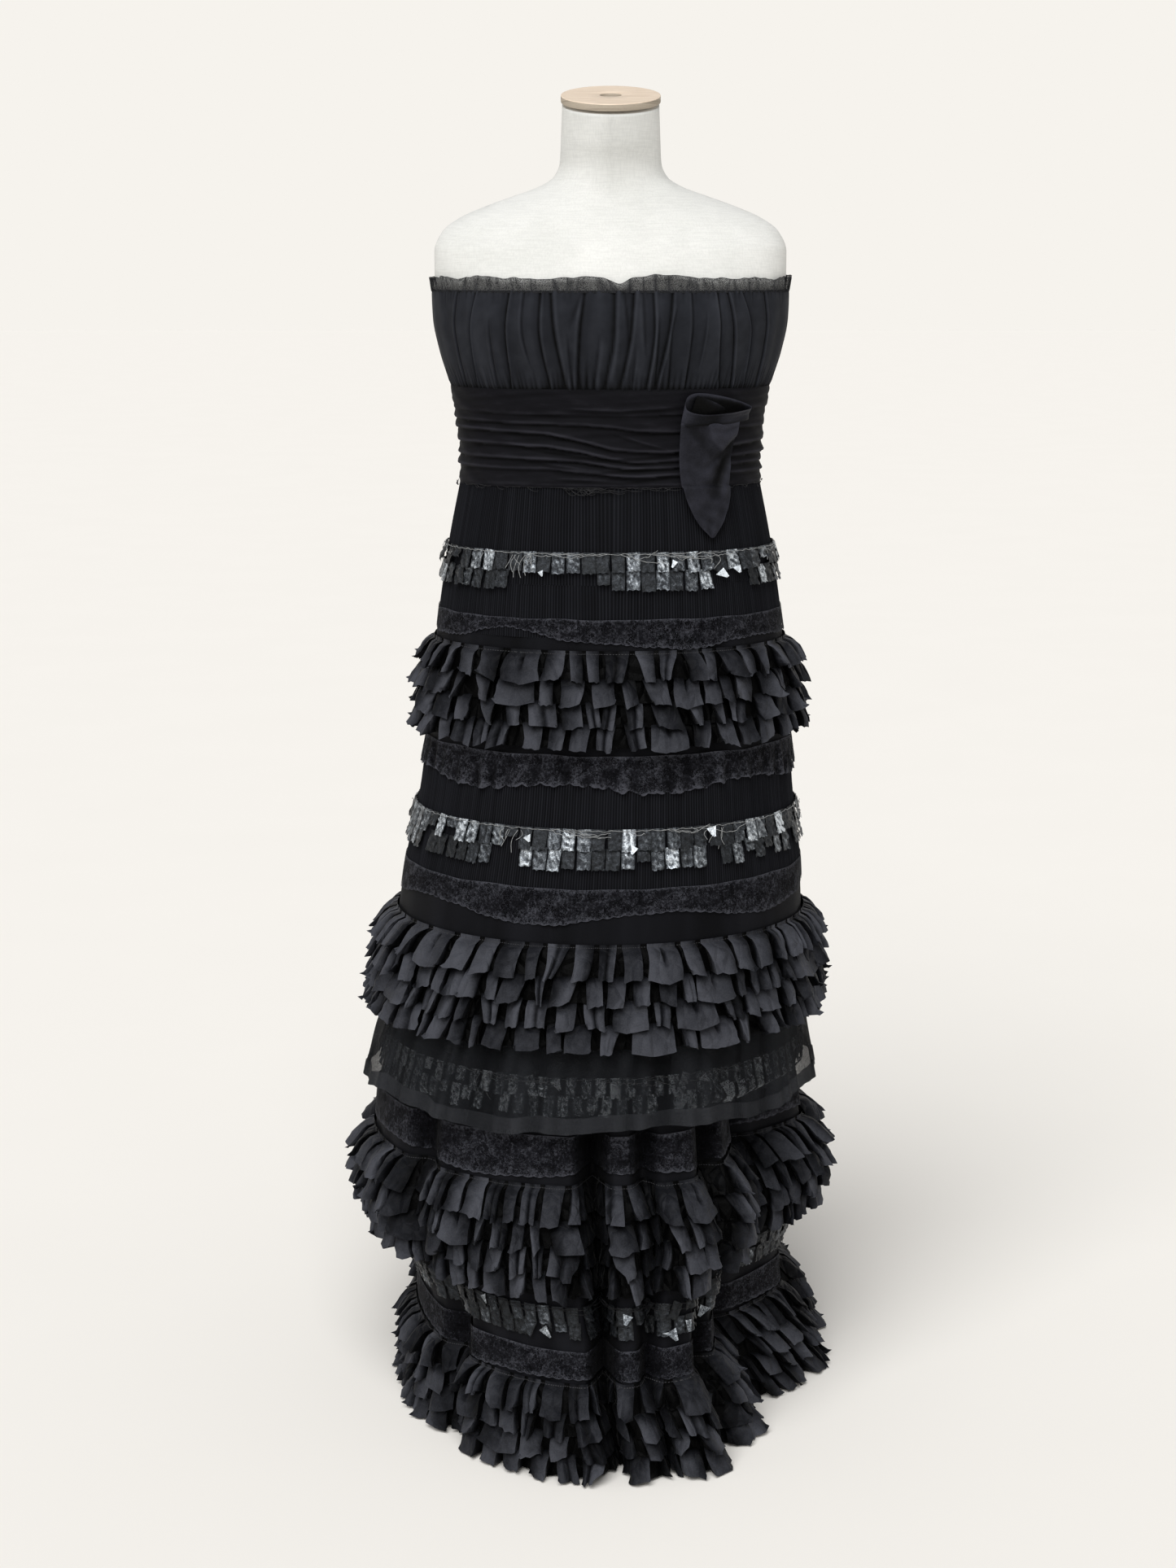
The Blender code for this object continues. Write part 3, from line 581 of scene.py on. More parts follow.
LOOKS = {
    "ruffle": make_ruffle_satin(),
    "sash": make_satin("sash_satin", (0.0060, 0.0062, 0.0086), (0.0288, 0.0296, 0.0400), 0.58, 0.08).material,
    "chiffon": make_cloth(
        "bodice_chiffon", 0.80, (70, 0.16),
        ((0.0012, 0.0013, 0.0016), (0.0114, 0.0124, 0.0160), (0.0325, 0.0350, 0.0430)),
        (1500, 2), 0.00008, Specular_IOR_Level=0.08, Sheen_Weight=0.02, Sheen_Roughness=0.5),
    "cummerbund": make_cloth(
        "cummerbund_chiffon", 0.70, (70, 0.14, (1, 1, 3)),
        ((0.0008, 0.0008, 0.0011), (0.0048, 0.0047, 0.0064), (0.0235, 0.0232, 0.0295)),
        (300, 3, None, (0.3, 0.3, 3)), 0.00020,
        Specular_IOR_Level=0.06, Sheen_Weight=0.01, Sheen_Roughness=0.45),
    "plisse": make_cloth(
        "plisse_crepe", 0.76, (45, 0.07),
        ((0.0012, 0.0012, 0.0016), (0.0047, 0.0050, 0.0066), (0.0140, 0.0148, 0.0185)),
        (900, 2, None, (1, 1, 0.2)), 0.00008, woven=False, Specular_IOR_Level=0.05, Sheen_Weight=0.01),
    "crepe": make_cloth(
        "plain_crepe", 0.72, (30, 0.20, (1, 1, 0.3)),
        ((0.0006, 0.0006, 0.0008), (0.0044, 0.0046, 0.0062), (0.0092, 0.0096, 0.0125)),
        (700, 2), 0.00008, Specular_IOR_Level=0.06, Sheen_Weight=0.01),
    "lace": make_lace_material(),
    "tulle": make_tulle(
        "overlay_tulle", 0.38, 0.0013, 0.50, (0.0056, 0.0061, 0.0072), (0.0148, 0.0160, 0.0185)),
    "tulle_hem": make_tulle(
        "overlay_tulle_hem", 0.64, 0.0013, 0.26, (0.0140, 0.0150, 0.0172), (0.0280, 0.0295, 0.0335)),
    "frill": make_tulle(
        "frill_tulle", 0.50, 0.0016, 0.55, (0.0130, 0.0133, 0.0148), (0.0250, 0.0256, 0.0280)),
    "foil": make_foil_material(),
    "thread": make_thread("loose_thread", 0.6, 0.3, 300, (0.16, 0.165, 0.168), (0.42, 0.43, 0.43)),
    "fray": make_thread("frayed_thread", 0.7, 0.1, 200, (0.008, 0.008, 0.009), (0.032, 0.032, 0.034)),
    "linen": make_linen(),
    "wood": make_wood(),
    "ply": make_ply(),
    "steel": make_steel(),
}


# Meshes

def finish_piece(piece, look, slot, *nodes):
    piece.data.materials.append(LOOKS[look])
    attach(piece, "root")
    if nodes:
        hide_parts(*nodes)


def mesh_of(name, points, quads, uv, tone=None):
    """A smooth-shaded mesh from points, faces of four corners, one uv a corner and one tone a point."""
    mesh = bpy.data.meshes.new(name)
    mesh.vertices.add(len(points))
    mesh.vertices.foreach_set("co", np.ascontiguousarray(points, np.float32).ravel())
    mesh.loops.add(quads.size)
    mesh.loops.foreach_set("vertex_index", quads.ravel().astype(np.int32))
    mesh.polygons.add(len(quads))
    mesh.polygons.foreach_set("loop_start", np.arange(0, quads.size, 4, dtype=np.int32))
    mesh.update(calc_edges=True)
    layer = mesh.uv_layers.new(name="cloth")
    layer.data.foreach_set("uv", np.ascontiguousarray(uv, np.float32).ravel())
    if tone is not None:
        held = mesh.attributes.new("tone", "FLOAT", "POINT")
        held.data.foreach_set("value", np.ascontiguousarray(tone, np.float32).ravel())
    mesh.shade_smooth()
    mesh.validate()
    piece = bpy.data.objects.new(name, mesh)
    bpy.context.scene.collection.objects.link(piece)
    return piece


def grid_parts(points, closed, across=None, down=None, tone=None):
    """Arrays for a grid of rows from top to foot: points, quads, uv and tone."""
    rows, columns = points.shape[:2]
    ends = columns if closed else columns - 1
    i, j = np.meshgrid(np.arange(rows - 1), np.arange(ends), indexing="ij")
    k = (j + 1) % columns
    corners = [i * columns + j, (i + 1) * columns + j, (i + 1) * columns + k, i * columns + k]
    quads = np.stack(corners, axis=-1).reshape(-1, 4)
    if across is None:
        steps = np.linalg.norm(np.diff(points[rows // 2], axis=0), axis=1)
        across = np.concatenate([[0], np.cumsum(steps)])
    if down is None:
        steps = np.linalg.norm(np.diff(points, axis=0), axis=2).mean(axis=1)
        down = np.concatenate([[0], np.cumsum(steps)])
    across = np.append(across, across[-1] + (across[-1] - across[-2])) if closed else across
    u = np.broadcast_to(across, (rows, len(across)))
    v = np.broadcast_to(np.asarray(down)[:, None], u.shape)
    corners = (i, j), (i + 1, j), (i + 1, j + 1), (i, j + 1)
    uv = np.stack([np.stack([u[a, b], v[a, b]], axis=-1) for a, b in corners], axis=2)
    tone = np.zeros((rows, columns)) + (0.5 if tone is None else tone)
    return points.reshape(-1, 3), quads, uv.reshape(-1, 2), tone.ravel()


def joined(parts):
    """Several grids as one set of arrays."""
    points, quads, uv, tone = zip(*parts)
    bases = np.cumsum([0, *(len(p) for p in points[:-1])])
    quads = [q + base for q, base in zip(quads, bases)]
    return tuple(np.concatenate(arrays) for arrays in (points, quads, uv, tone))


def grid_piece(name, look, slot, node, points, closed=True, **more):
    """A finished piece from one grid. It takes the place of one node's solid."""
    piece = mesh_of(name, *grid_parts(points, closed, **more))
    finish_piece(piece, look, slot, node)
    return piece


def threads_piece(name, lines, radius):
    """Loose threads: one curve object, each line a list of points."""
    data = bpy.data.curves.new(name, "CURVE")
    data.dimensions = "3D"
    data.bevel_depth = radius
    data.bevel_resolution = 0
    data.use_fill_caps = True
    for line in lines:
        spline = data.splines.new("POLY")
        spline.points.add(len(line) - 1)
        for point, place in zip(spline.points, line):
            point.co = (*place, 1)
    piece = bpy.data.objects.new(name, data)
    bpy.context.scene.collection.objects.link(piece)
    return piece


def arc_at(degrees, turns, arcs):
    """The arc length at so many degrees from the centre front."""
    return np.interp(math.radians((degrees + 180) % 360 - 180), turns, arcs)


def ring_turns(count):
    """One row of turns from the centre back all the way round."""
    return (-math.pi + 2 * math.pi * np.arange(count) / count)[None, :]


def rows_of(top, foot, step):
    return np.linspace(top, foot, max(2, round((top - foot) / step) + 1))[:, None]


# The form

def make_form():
    turns = ring_turns(160)
    levels = np.concatenate([rows_of(1.477, 1.27, 0.0035), rows_of(1.26, 0.80, 0.018)])
    points = form.at(levels, turns)
    middle_top = points[0].mean(axis=0)
    middle_foot = points[-1].mean(axis=0)
    caps = [middle_foot + (points[-1] - middle_foot) * share for share in (0.9, 0.5, 0.02)]
    lids = [middle_top + (points[0] - middle_top) * share for share in (0.02, 0.6)]
    grid_piece("form_cover", "linen", "linen", "form_torso", np.stack([*lids, *points, *caps]))


def make_cap():
    """The plywood cap, turned, with its recess and a small bevel, on the neck's slope."""
    rim, thick, recess, deep, bevel = 0.0545, 0.008, 0.012, 0.003, 0.0009
    # From the middle of the recess out over the top, down the rim and in under the cap.
    profile = [
        (0.0004, thick - deep), (recess - 0.0012, thick - deep), (recess - 0.0003, thick - deep + 0.0004),
        (recess, thick - 0.0006), (recess + 0.0006, thick), (rim * 0.5, thick), (rim - bevel * 1.6, thick),
        (rim - bevel, thick), (rim - bevel * 0.3, thick - bevel * 0.3), (rim, thick - bevel),
        (rim, thick - bevel * 1.8), (rim, bevel), (rim - bevel * 0.3, bevel * 0.3), (rim - bevel, 0.0),
        (0.0004, 0.0),
    ]
    count = 96
    turns = ring_turns(count)[0]
    points = np.array([[(r * math.sin(t), -r * math.cos(t), h) for t in turns] for r, h in profile])
    piece = mesh_of("neck_cap_wood", *grid_parts(points, True))
    for face in piece.data.polygons:
        face.material_index = int(face.index // count in (0, 1, 2, 9, 10, 11, 12))  # the recess and the rim
    slope = math.atan(FORM[0].lean)
    seat = Vector((0.0, -math.sin(slope), math.cos(slope))) * 0.0003
    neck_top = Vector((0.0, FORM[0].middle, FORM[0].height))
    piece.data.transform(Matrix.Translation(neck_top + seat) @ Matrix.Rotation(slope, 4, "X"))
    finish_piece(piece, "wood", "plywood", "neck_cap")
    piece.data.materials.append(LOOKS["ply"])


def paint_stand():
    for name in ("stand_pole", "stand_base"):
        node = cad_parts[name]
        node.data.materials.clear()
        node.data.materials.append(LOOKS["steel"])


# The bodice

# The photograph's main gathers: where each valley runs at the neckline, the middle and the bust seam, in
# millimetres from the centre front, how wide and deep it is, the side it laps to, and the shares of the
# height where it begins and ends.
Gather = namedtuple("Gather", "top middle foot width depth lap begin end", defaults=(1.3,))
GATHERS = [Gather(*row) for row in (
    (-62, -59, -52, 3.4, 2.6, 1, 0.00),
    (-30, -46, -62, 4.2, 1.5, 1, 0.00, 0.42),
    (-27, -33, -38, 3.2, 3.0, -1, 0.00),
    (3.5, 2.6, -7, 2.4, 2.8, 1, 0.00),
    (14, 18, 17, 2.2, 1.3, -1, 0.00, 0.55),
    (23.6, 20.5, 10, 2.6, 3.0, 1, 0.00),
    (33, 36, 41.5, 2.6, 1.5, -1, 0.00, 0.70),
    (43, 45, 40.6, 2.4, 2.6, 1, 0.00),
    (51, 50, 50, 2.4, 1.8, -1, 0.20),
    (63, 59, 51, 2.6, 3.2, 1, 0.00),
    (72, 63, 66, 2.2, 1.8, -1, 0.10),
    (82, 83, 85, 2.0, 1.9, -1, 0.00),
    (96, 95, 95, 1.8, 1.2, 1, 0.15, 0.85),
    (107.5, 111, 124, 2.4, 2.4, -1, 0.00),
    (118, 126, 138, 2.4, 2.8, 1, 0.00),
    (134, 147, 153, 2.4, 2.2, -1, 0.00),
    (-12, -13, -20, 2.6, 1.6, 1, 0.42),
    (-2, -24, -28, 2.6, 1.3, -1, 0.62),
    (28, 27, 24, 2.2, 1.7, 1, 0.55),
    (-50, -46, -44, 2.8, 1.5, -1, 0.40),
    (-72, -74, -70, 2.6, 2.4, 1, 0.00),
    (-88, -90, -84, 2.4, 1.7, -1, 0.00, 0.8),
    (-103, -108, -114, 2.6, 2.8, 1, 0.00),
    (-120, -124, -130, 2.4, 1.7, -1, 0.25),
    (-138, -146, -153, 2.4, 2.6, 1, 0.00),
    (-158, -164, -166, 2.6, 2.0, -1, 0.00),
    (158, 164, 167, 2.6, 2.2, 1, 0.00),
)]


def half_turn_of(x):
    """The turn of a place on the front of the bodice, x metres to the viewer's right of its centre."""
    return math.copysign(math.asin(min(0.999, abs(x) / 0.188) ** 1.2), x)


def gathered(z, t, gathers, seed, small_every):
    """(how far the bodice's cloth stands off, its tone): creases with a lap beside each, and seam gathers,
    the tone painted shade in the creases and painted light on the laps and swells.
    """
    share = unit((NECKLINE - z) / (NECKLINE - WAIST_SEAM))
    off = 0.0040 + 0 * t * share
    shade = 0.57 + 0 * t * share
    for gather in gathers:
        stops = np.array([half_turn_of(v / 1000) for v in (gather.top, gather.middle, gather.foot)])
        line = monotone(np.array([0.0, 0.45, 1.0]), stops, share)
        width = gather.width / 1000 / 0.210
        away = (t - line) / width
        grown = unit((share - gather.begin) / 0.25 + (gather.begin == 0)) * unit((gather.end - share) / 0.2)
        depth = gather.depth / 1000 * grown * (0.8 + 0.4 * share)
        crease = np.exp(-np.abs(away / 0.42) ** 1.4)
        off = off - depth * (0.55 * crease + 0.45 * bell(away))
        off = off + depth * 0.62 * bell(away, 1.25 * gather.lap, 0.9)
        weight = min(1, gather.depth / 2.6) ** 1.3
        # Painted shade in the crease and beyond its lap, painted light on the lap.
        shade = shade - 0.76 * grown * crease * weight
        shade = shade + 0.20 * grown * bell(away, 1.1 * gather.lap, 0.7) * weight
        shade = shade - 0.10 * grown * bell(away + 1.6 * gather.lap, 0, 1.4) * weight
    chance = np.random.RandomState(seed)
    place = -math.pi / 2 + 0.02
    while place < math.pi / 2:
        long = chance.uniform(0.12, 0.34)
        width = chance.uniform(0.0012, 0.0020) / 0.185
        grown = unit((share - (1 - long)) / long) ** 1.2
        drift = chance.uniform(-0.02, 0.02)
        crease = bell(t - place, drift * (1 - share), width)
        off = off - grown * chance.uniform(0.0010, 0.0021) * crease
        # Painted shade along the small gathers at the seams.
        shade = shade - 0.40 * grown * crease
        top_long = chance.uniform(0.06, 0.18)
        grown = unit(1 - share / top_long)
        crease = bell(t - place, 0.01, width)
        off = off - grown * chance.uniform(0.0, 0.0012) * crease
        shade = shade - 0.30 * chance.uniform() * grown * crease
        place += chance.uniform(0.6, 1.4) * small_every
    broad = wander(seed + 1, t, (9, 14, 21, 33))
    off = off + 0.0010 * np.sin(share * 3.14) * broad
    # Painted light where the cloth swells out, painted shade where it sinks.
    shade = shade + 0.07 * broad
    return np.maximum(off, 0.0013), unit(shade)


def make_bodice():
    # At the side seams the back's edges lie under the front's.
    for side, count, levels, edge in (("front", 560, 0.0021, 0.0), ("back", 300, 0.0030, -0.014)):
        turns = np.linspace(-math.pi / 2 + edge, math.pi / 2 - edge, count)[None, :]
        z = np.concatenate([rows_of(NECKLINE, WAIST_SEAM, levels), [[WAIST_SEAM - 0.0035]]])
        if side == "front":
            off, tone = gathered(z, turns, GATHERS, 5, 0.030)
        else:
            chance = np.random.RandomState(8)
            plain = []
            for i, x in enumerate(np.linspace(-160, 160, 15) + chance.uniform(-5, 5, 15)):
                middle, foot = x + chance.uniform(-5, 5), x + chance.uniform(-8, 8)
                plain.append(Gather(x, middle, foot, 2.6, chance.uniform(1.4, 2.6), (-1) ** i, 0))
            off, tone = gathered(z, turns, plain, 9, 0.036)
        where = turns if side == "front" else turns + math.pi
        fall = bell(NECKLINE, z, 0.0022) + bell(z, WAIST_SEAM, 0.0030)
        off = np.where(z < WAIST_SEAM - 0.001, 0.0011, off - 0.0010 * fall)
        seam = unit((np.abs(turns) - math.pi / 2 + 0.022) / 0.018)
        lap = 0.0021 if side == "front" else 0.0011
        off = off * (1 - seam) + seam * lap * (off > 0.0012) + seam * 0.0011 * (off <= 0.0012)
        # Painted shade along the waist seam.
        tone = unit(tone - 0.30 * bell(z, WAIST_SEAM, 0.0022))
        points = form.at(z, where, np.maximum(off, 0.0011))
        names = f"bodice_{side}_chiffon", "chiffon", "chiffon", f"bodice_{side}"
        piece = grid_piece(*names, points, closed=False, tone=tone)


# The frill's gathers that show at the front: millimetres from the centre front, and a width.
FRILL_LINES = (
    (-98, 3.0), (-80, 2.4), (-54, 2.6), (-46, 2.0), (-36, 2.4), (-11, 1.8), (3, 2.6), (10, 2.0), (19, 4.6),
    (33, 2.0), (46, 3.2), (60, 2.2), (76, 2.0), (89, 3.0), (104, 2.2), (116, 3.0), (128, 2.4),
)


def make_frill():
    """The narrow tulle frill: gathered at its foot, its top edge free, with a few flatter places."""
    turns = ring_turns(1000)
    share = np.linspace(1, 0, 9)[:, None]
    uneven = 0.0026 * wander(21, turns, (3, 5, 8, 13, 19)) + 0.0009 * wander(22, turns, (31, 47, 66))
    dip = 0.0060 * bell(turns, half_turn_of(0.009), 0.030)
    height = 0.0138 + uneven - dip
    z = NECKLINE - 0.0025 + (height + 0.0025) * share
    gathers = wander(23, turns, (52, 61, 77, 90, 104))
    off = 0.0036 + share * (0.0012 + 0.0010 * wander(24, turns, (7, 12))) + share**0.6 * 0.0018 * gathers
    off = off + 0.0007 * wander(25, turns, (150, 170, 210)) * (1 - share)
    off = np.maximum(off, 0.0012)
    lean = 0.004 * share * wander(26, turns, (40, 55))
    chance = np.random.RandomState(27)
    lines = [(half_turn_of(x / 1000), w / 1000) for x, w in FRILL_LINES]
    unseen = math.radians(42), math.radians(318)
    lines += [(chance.uniform(*unseen), chance.uniform(0.0018, 0.0042)) for _ in range(46)]
    thick = 0 * turns + 0 * share
    for turn, width in lines:
        away = (turns + 0.03 * math.sin(turn * 50) * share - turn + math.pi) % (2 * math.pi) - math.pi
        thick = thick + 0.9 * bell(away * 0.18, 0, width * (0.36 - 0.12 * share))
    doubled = 0.28 * unit(wander(28, turns + 0.02 * share, (61, 77, 90, 104)))
    thick = thick + 0.55 * bell(1, share, 0.09) + 0.30 * bell(share, 0, 0.22) + doubled
    points = form.at(z, turns + lean, off)
    piece = grid_piece("neckline_tulle_frill", "frill", "tulle", "neckline_frill", points, tone=unit(thick))


# The cummerbund and the sash end

# Each drape's lower edge, as heights where it crosses these places from the centre front (metres).
DRAPE_PLACES = (-0.19, -0.12, -0.076, -0.034, 0.0035, 0.033, 0.071, 0.12, 0.19)
DRAPES = (
    (1.1480, 1.1450, 1.1440, 1.1432, 1.1428, 1.1432, 1.1440, 1.1470, 1.1500),
    (1.1370, 1.1350, 1.1340, 1.1330, 1.1300, 1.1262, 1.1245, 1.1260, 1.1300),
    (1.1270, 1.1250, 1.1232, 1.1150, 1.1062, 1.1040, 1.1030, 1.1070, 1.1120),
    (1.1120, 1.1105, 1.1090, 1.1032, 1.0955, 1.0920, 1.0935, 1.0965, 1.1000),
    (1.0980, 1.0960, 1.0945, 1.0925, 1.0872, 1.0852, 1.0862, 1.0880, 1.0900),
    (1.0850, 1.0848, 1.0850, 1.0815, 1.0780, 1.0765, 1.0785, 1.0790, 1.0800),
    (1.0670, 1.0670, 1.0670, 1.0670, 1.0670, 1.0670, 1.0670, 1.0670, 1.0670),
)
DRAPE_RISES = (0.0014, 0.0030, 0.0048, 0.0044, 0.0036, 0.0042, 0.0020)
# Thin tucks that cross the drapes at the front, as (place, height) points.
TUCKS = (
    ((-0.120, 1.1125), (-0.077, 1.1060), (-0.005, 1.0972), (0.068, 1.1012)),
    ((-0.095, 1.0945), (-0.077, 1.0915), (-0.014, 1.0840), (0.053, 1.0885)),
    ((-0.077, 1.0765), (0.012, 1.0725), (0.075, 1.0790)),
    ((0.000, 1.1262), (0.038, 1.1150), (0.076, 1.1060)),
    ((-0.060, 1.1520), (0.010, 1.1490), (0.078, 1.1530)),
)


def draped(z, t):
    """(how far the cummerbund stands off, its tone): each drape swells to its lower edge, then falls back,
    with painted shade under it and painted light along its swell.
    """
    x = 0.19 * np.sign(np.sin(t)) * np.abs(np.sin(t)) ** 0.87
    behind = np.cos(t) < 0
    edges = []
    for i, heights in enumerate(DRAPES):
        front = np.interp(x, DRAPE_PLACES, heights)
        sway = 0.0022 * wander(40 + i, t, (2, 3, 5)) if i < 6 else 0 * t
        edges.append(front + sway * np.where(behind, 1.0, 0.25))
    off = 0.0036 + 0 * z * t
    tone = 0.46 + 0 * z * t
    above = WAIST_SEAM + 0 * t
    for i, edge in enumerate(edges):
        share = unit((above - z) / np.maximum(above - edge, 0.004))
        inside = (z <= above) & (z > edge)
        swell = DRAPE_RISES[i] * (1 + 0.35 * wander(50 + i, t, (3, 4, 7)))
        profile = share**1.3 - 0.35 * bell((1 - share) * (above - edge), 0, 0.0012)
        off = off + np.where(inside, swell * profile, 0)
        strong = np.clip(swell / 0.0040, 0.2, 1.3)
        # Painted shadow under the drape above, and painted light along this drape's swell.
        if i:
            tone = tone - 0.52 * strong * np.exp(-(np.clip(above - z, 0, None) / 0.0024)) * inside
        tone = tone + 0.34 * strong * bell(z - edge, 0.0025, 0.0016) * inside
        above = edge
    for tuck in TUCKS:
        xs, heights = zip(*tuck)
        away = z - np.interp(x, xs, heights)
        shown = unit((x - xs[0]) / 0.02) * unit((xs[-1] - x) / 0.02) * ~behind
        off = off + 0.0008 * shown * bell(away, 0, 0.0021)
        # Painted light over each tuck and painted shade under it.
        tone = tone + shown * (0.17 * bell(away, 0.0007, 0.0012) - 0.24 * bell(away, -0.0022, 0.0015))
    seam = bell(z, WAIST_SEAM, 0.0025) + bell(z, CUMMERBUND_FOOT, 0.0020)
    fine = wander(60, t + 14 * z, (11, 17, 23)) + wander(61, 3 * t - 260 * z, (1, 2, 3))
    off = off - 0.0012 * seam + 0.0004 * fine
    # Painted light where the cloth stands out, and painted shade along the waist seam.
    tone = tone + 0.05 * fine - 0.25 * bell(z, WAIST_SEAM, 0.0018)
    return np.maximum(off, 0.0017), unit(tone)


def make_cummerbund():
    turns = ring_turns(360)
    z = rows_of(WAIST_SEAM - 0.0003, CUMMERBUND_FOOT - 0.0012, 0.0013)
    off, tone = draped(z, turns)
    low = z < CUMMERBUND_FOOT + 0.0015
    off = np.where(low, np.maximum(off, 0.0042), off)
    points = form.at(z, turns, off)
    piece = grid_piece("cummerbund_drapes", "cummerbund", "satin", "cummerbund", points, tone=tone)


def front_of_gown(z, t):
    """The form above the cummerbund's foot and the skirt below it, as points and outward directions."""
    over = (np.asarray(z) >= CUMMERBUND_FOOT)[..., None] if np.ndim(z) else z >= CUMMERBUND_FOOT
    points = np.where(over, form.section(z, t), skirt.section(np.minimum(z, SKIRT_TOP), t))
    return points, np.where(over, form.away(z, t), skirt.away(np.minimum(z, SKIRT_TOP), t))


def make_sash_loop():
    """A band turned back on itself. Its back lip arches up at the left, and its front lip dips there."""
    left, right = math.radians(22.3), math.radians(55)
    angle = 2 * math.pi * np.arange(140)[None, :] / 140
    share = np.linspace(1, 0, 24)[:, None]
    outer = (1 + np.sin(angle)) / 2
    to_right = (1 + np.cos(angle)) / 2
    dip = 0.0300 * outer * (0.22 + 0.78 * (1 - to_right)) * unit(outer * 1.6)
    top = 1.1700 - 0.0150 * to_right**1.5 - dip
    foot = 1.1315 + 0.0055 * to_right + 0.0040 * (1 - outer)
    z = foot + (top - foot) * share
    turn = (left + right) / 2 + (right - left) / 2 * np.cos(angle) * (1 - 0.04 * share * outer)
    roll = bell(share, 1, 0.12)
    stand = 0.0064 + 0.0150 * outer * (0.80 + 0.20 * share)
    stand = stand + 0.0018 * roll * outer - 0.0008 * roll * (1 - outer)
    pinch = bell(angle, 1.75, 0.22)
    stand = stand - 0.0026 * pinch * (1 - 0.5 * share) + 0.0012 * bell(angle, 1.35, 0.25)
    stand = stand - 0.0022 * outer * bell(share, 0.45, 0.2) * to_right
    inner = 1 - unit(outer * 2.2 - 0.25)
    left_side = bell(angle, math.pi, 0.5)
    # Painted light and shade: the inner half of the loop, its pinch and its foot darker, its rolled top lip
    # and left end lighter.
    tone = 0.66 - 0.24 * bell(angle, 2.1, 0.36) - 0.20 * pinch + 0.24 * left_side
    tone = tone - 0.58 * inner * (1 - roll) * (1 - 0.7 * left_side)
    tone = tone + 0.34 * roll - 0.30 * bell(share, 0, 0.20)
    points, away = front_of_gown(z, turn)
    points = points + away * stand[..., None]
    piece = grid_piece("sash_loop_band", "sash", "satin", "sash_loop", points, tone=unit(tone))

    lie = np.linspace(0, 1, 26)[None, :]
    down = np.linspace(1, 0, 9)[:, None]
    turn = np.radians(25.5 + 15 * lie + 1.5 * down)
    z = 1.1400 + 0.0200 * (1 - lie) ** 0.7 * down + 0.006 * down
    stand = 0.0105 + 0.0055 * np.sin(lie * 2.6) + 0.0012 * down
    points, away = front_of_gown(z, turn)
    # Painted shade: the fold inside the loop is nearly black, lighter only at the middle of its top.
    tone = 0.05 + 0.55 * down**6 * bell(lie, 0.5, 0.3) + 0 * lie
    points = points + away * stand[..., None]
    fold = grid_piece("sash_loop_inner_fold", "sash", "satin", "sash_loop", points, closed=False, tone=tone)


TailRow = namedtuple("TailRow", "height left right stand_off")
TAIL = [TailRow(*row) for row in (
    (1.1372, 22.3, 48.0, 0.0150),
    (1.115, 22.3, 47.8, 0.0145),
    (1.095, 22.4, 46.4, 0.0140),
    (1.075, 23.0, 45.6, 0.0130),
    (1.056, 24.6, 44.8, 0.0112),
    (1.040, 26.8, 42.6, 0.0098),
    (1.025, 30.0, 39.6, 0.0084),
    (1.012, 34.4, 35.6, 0.0074),
)]


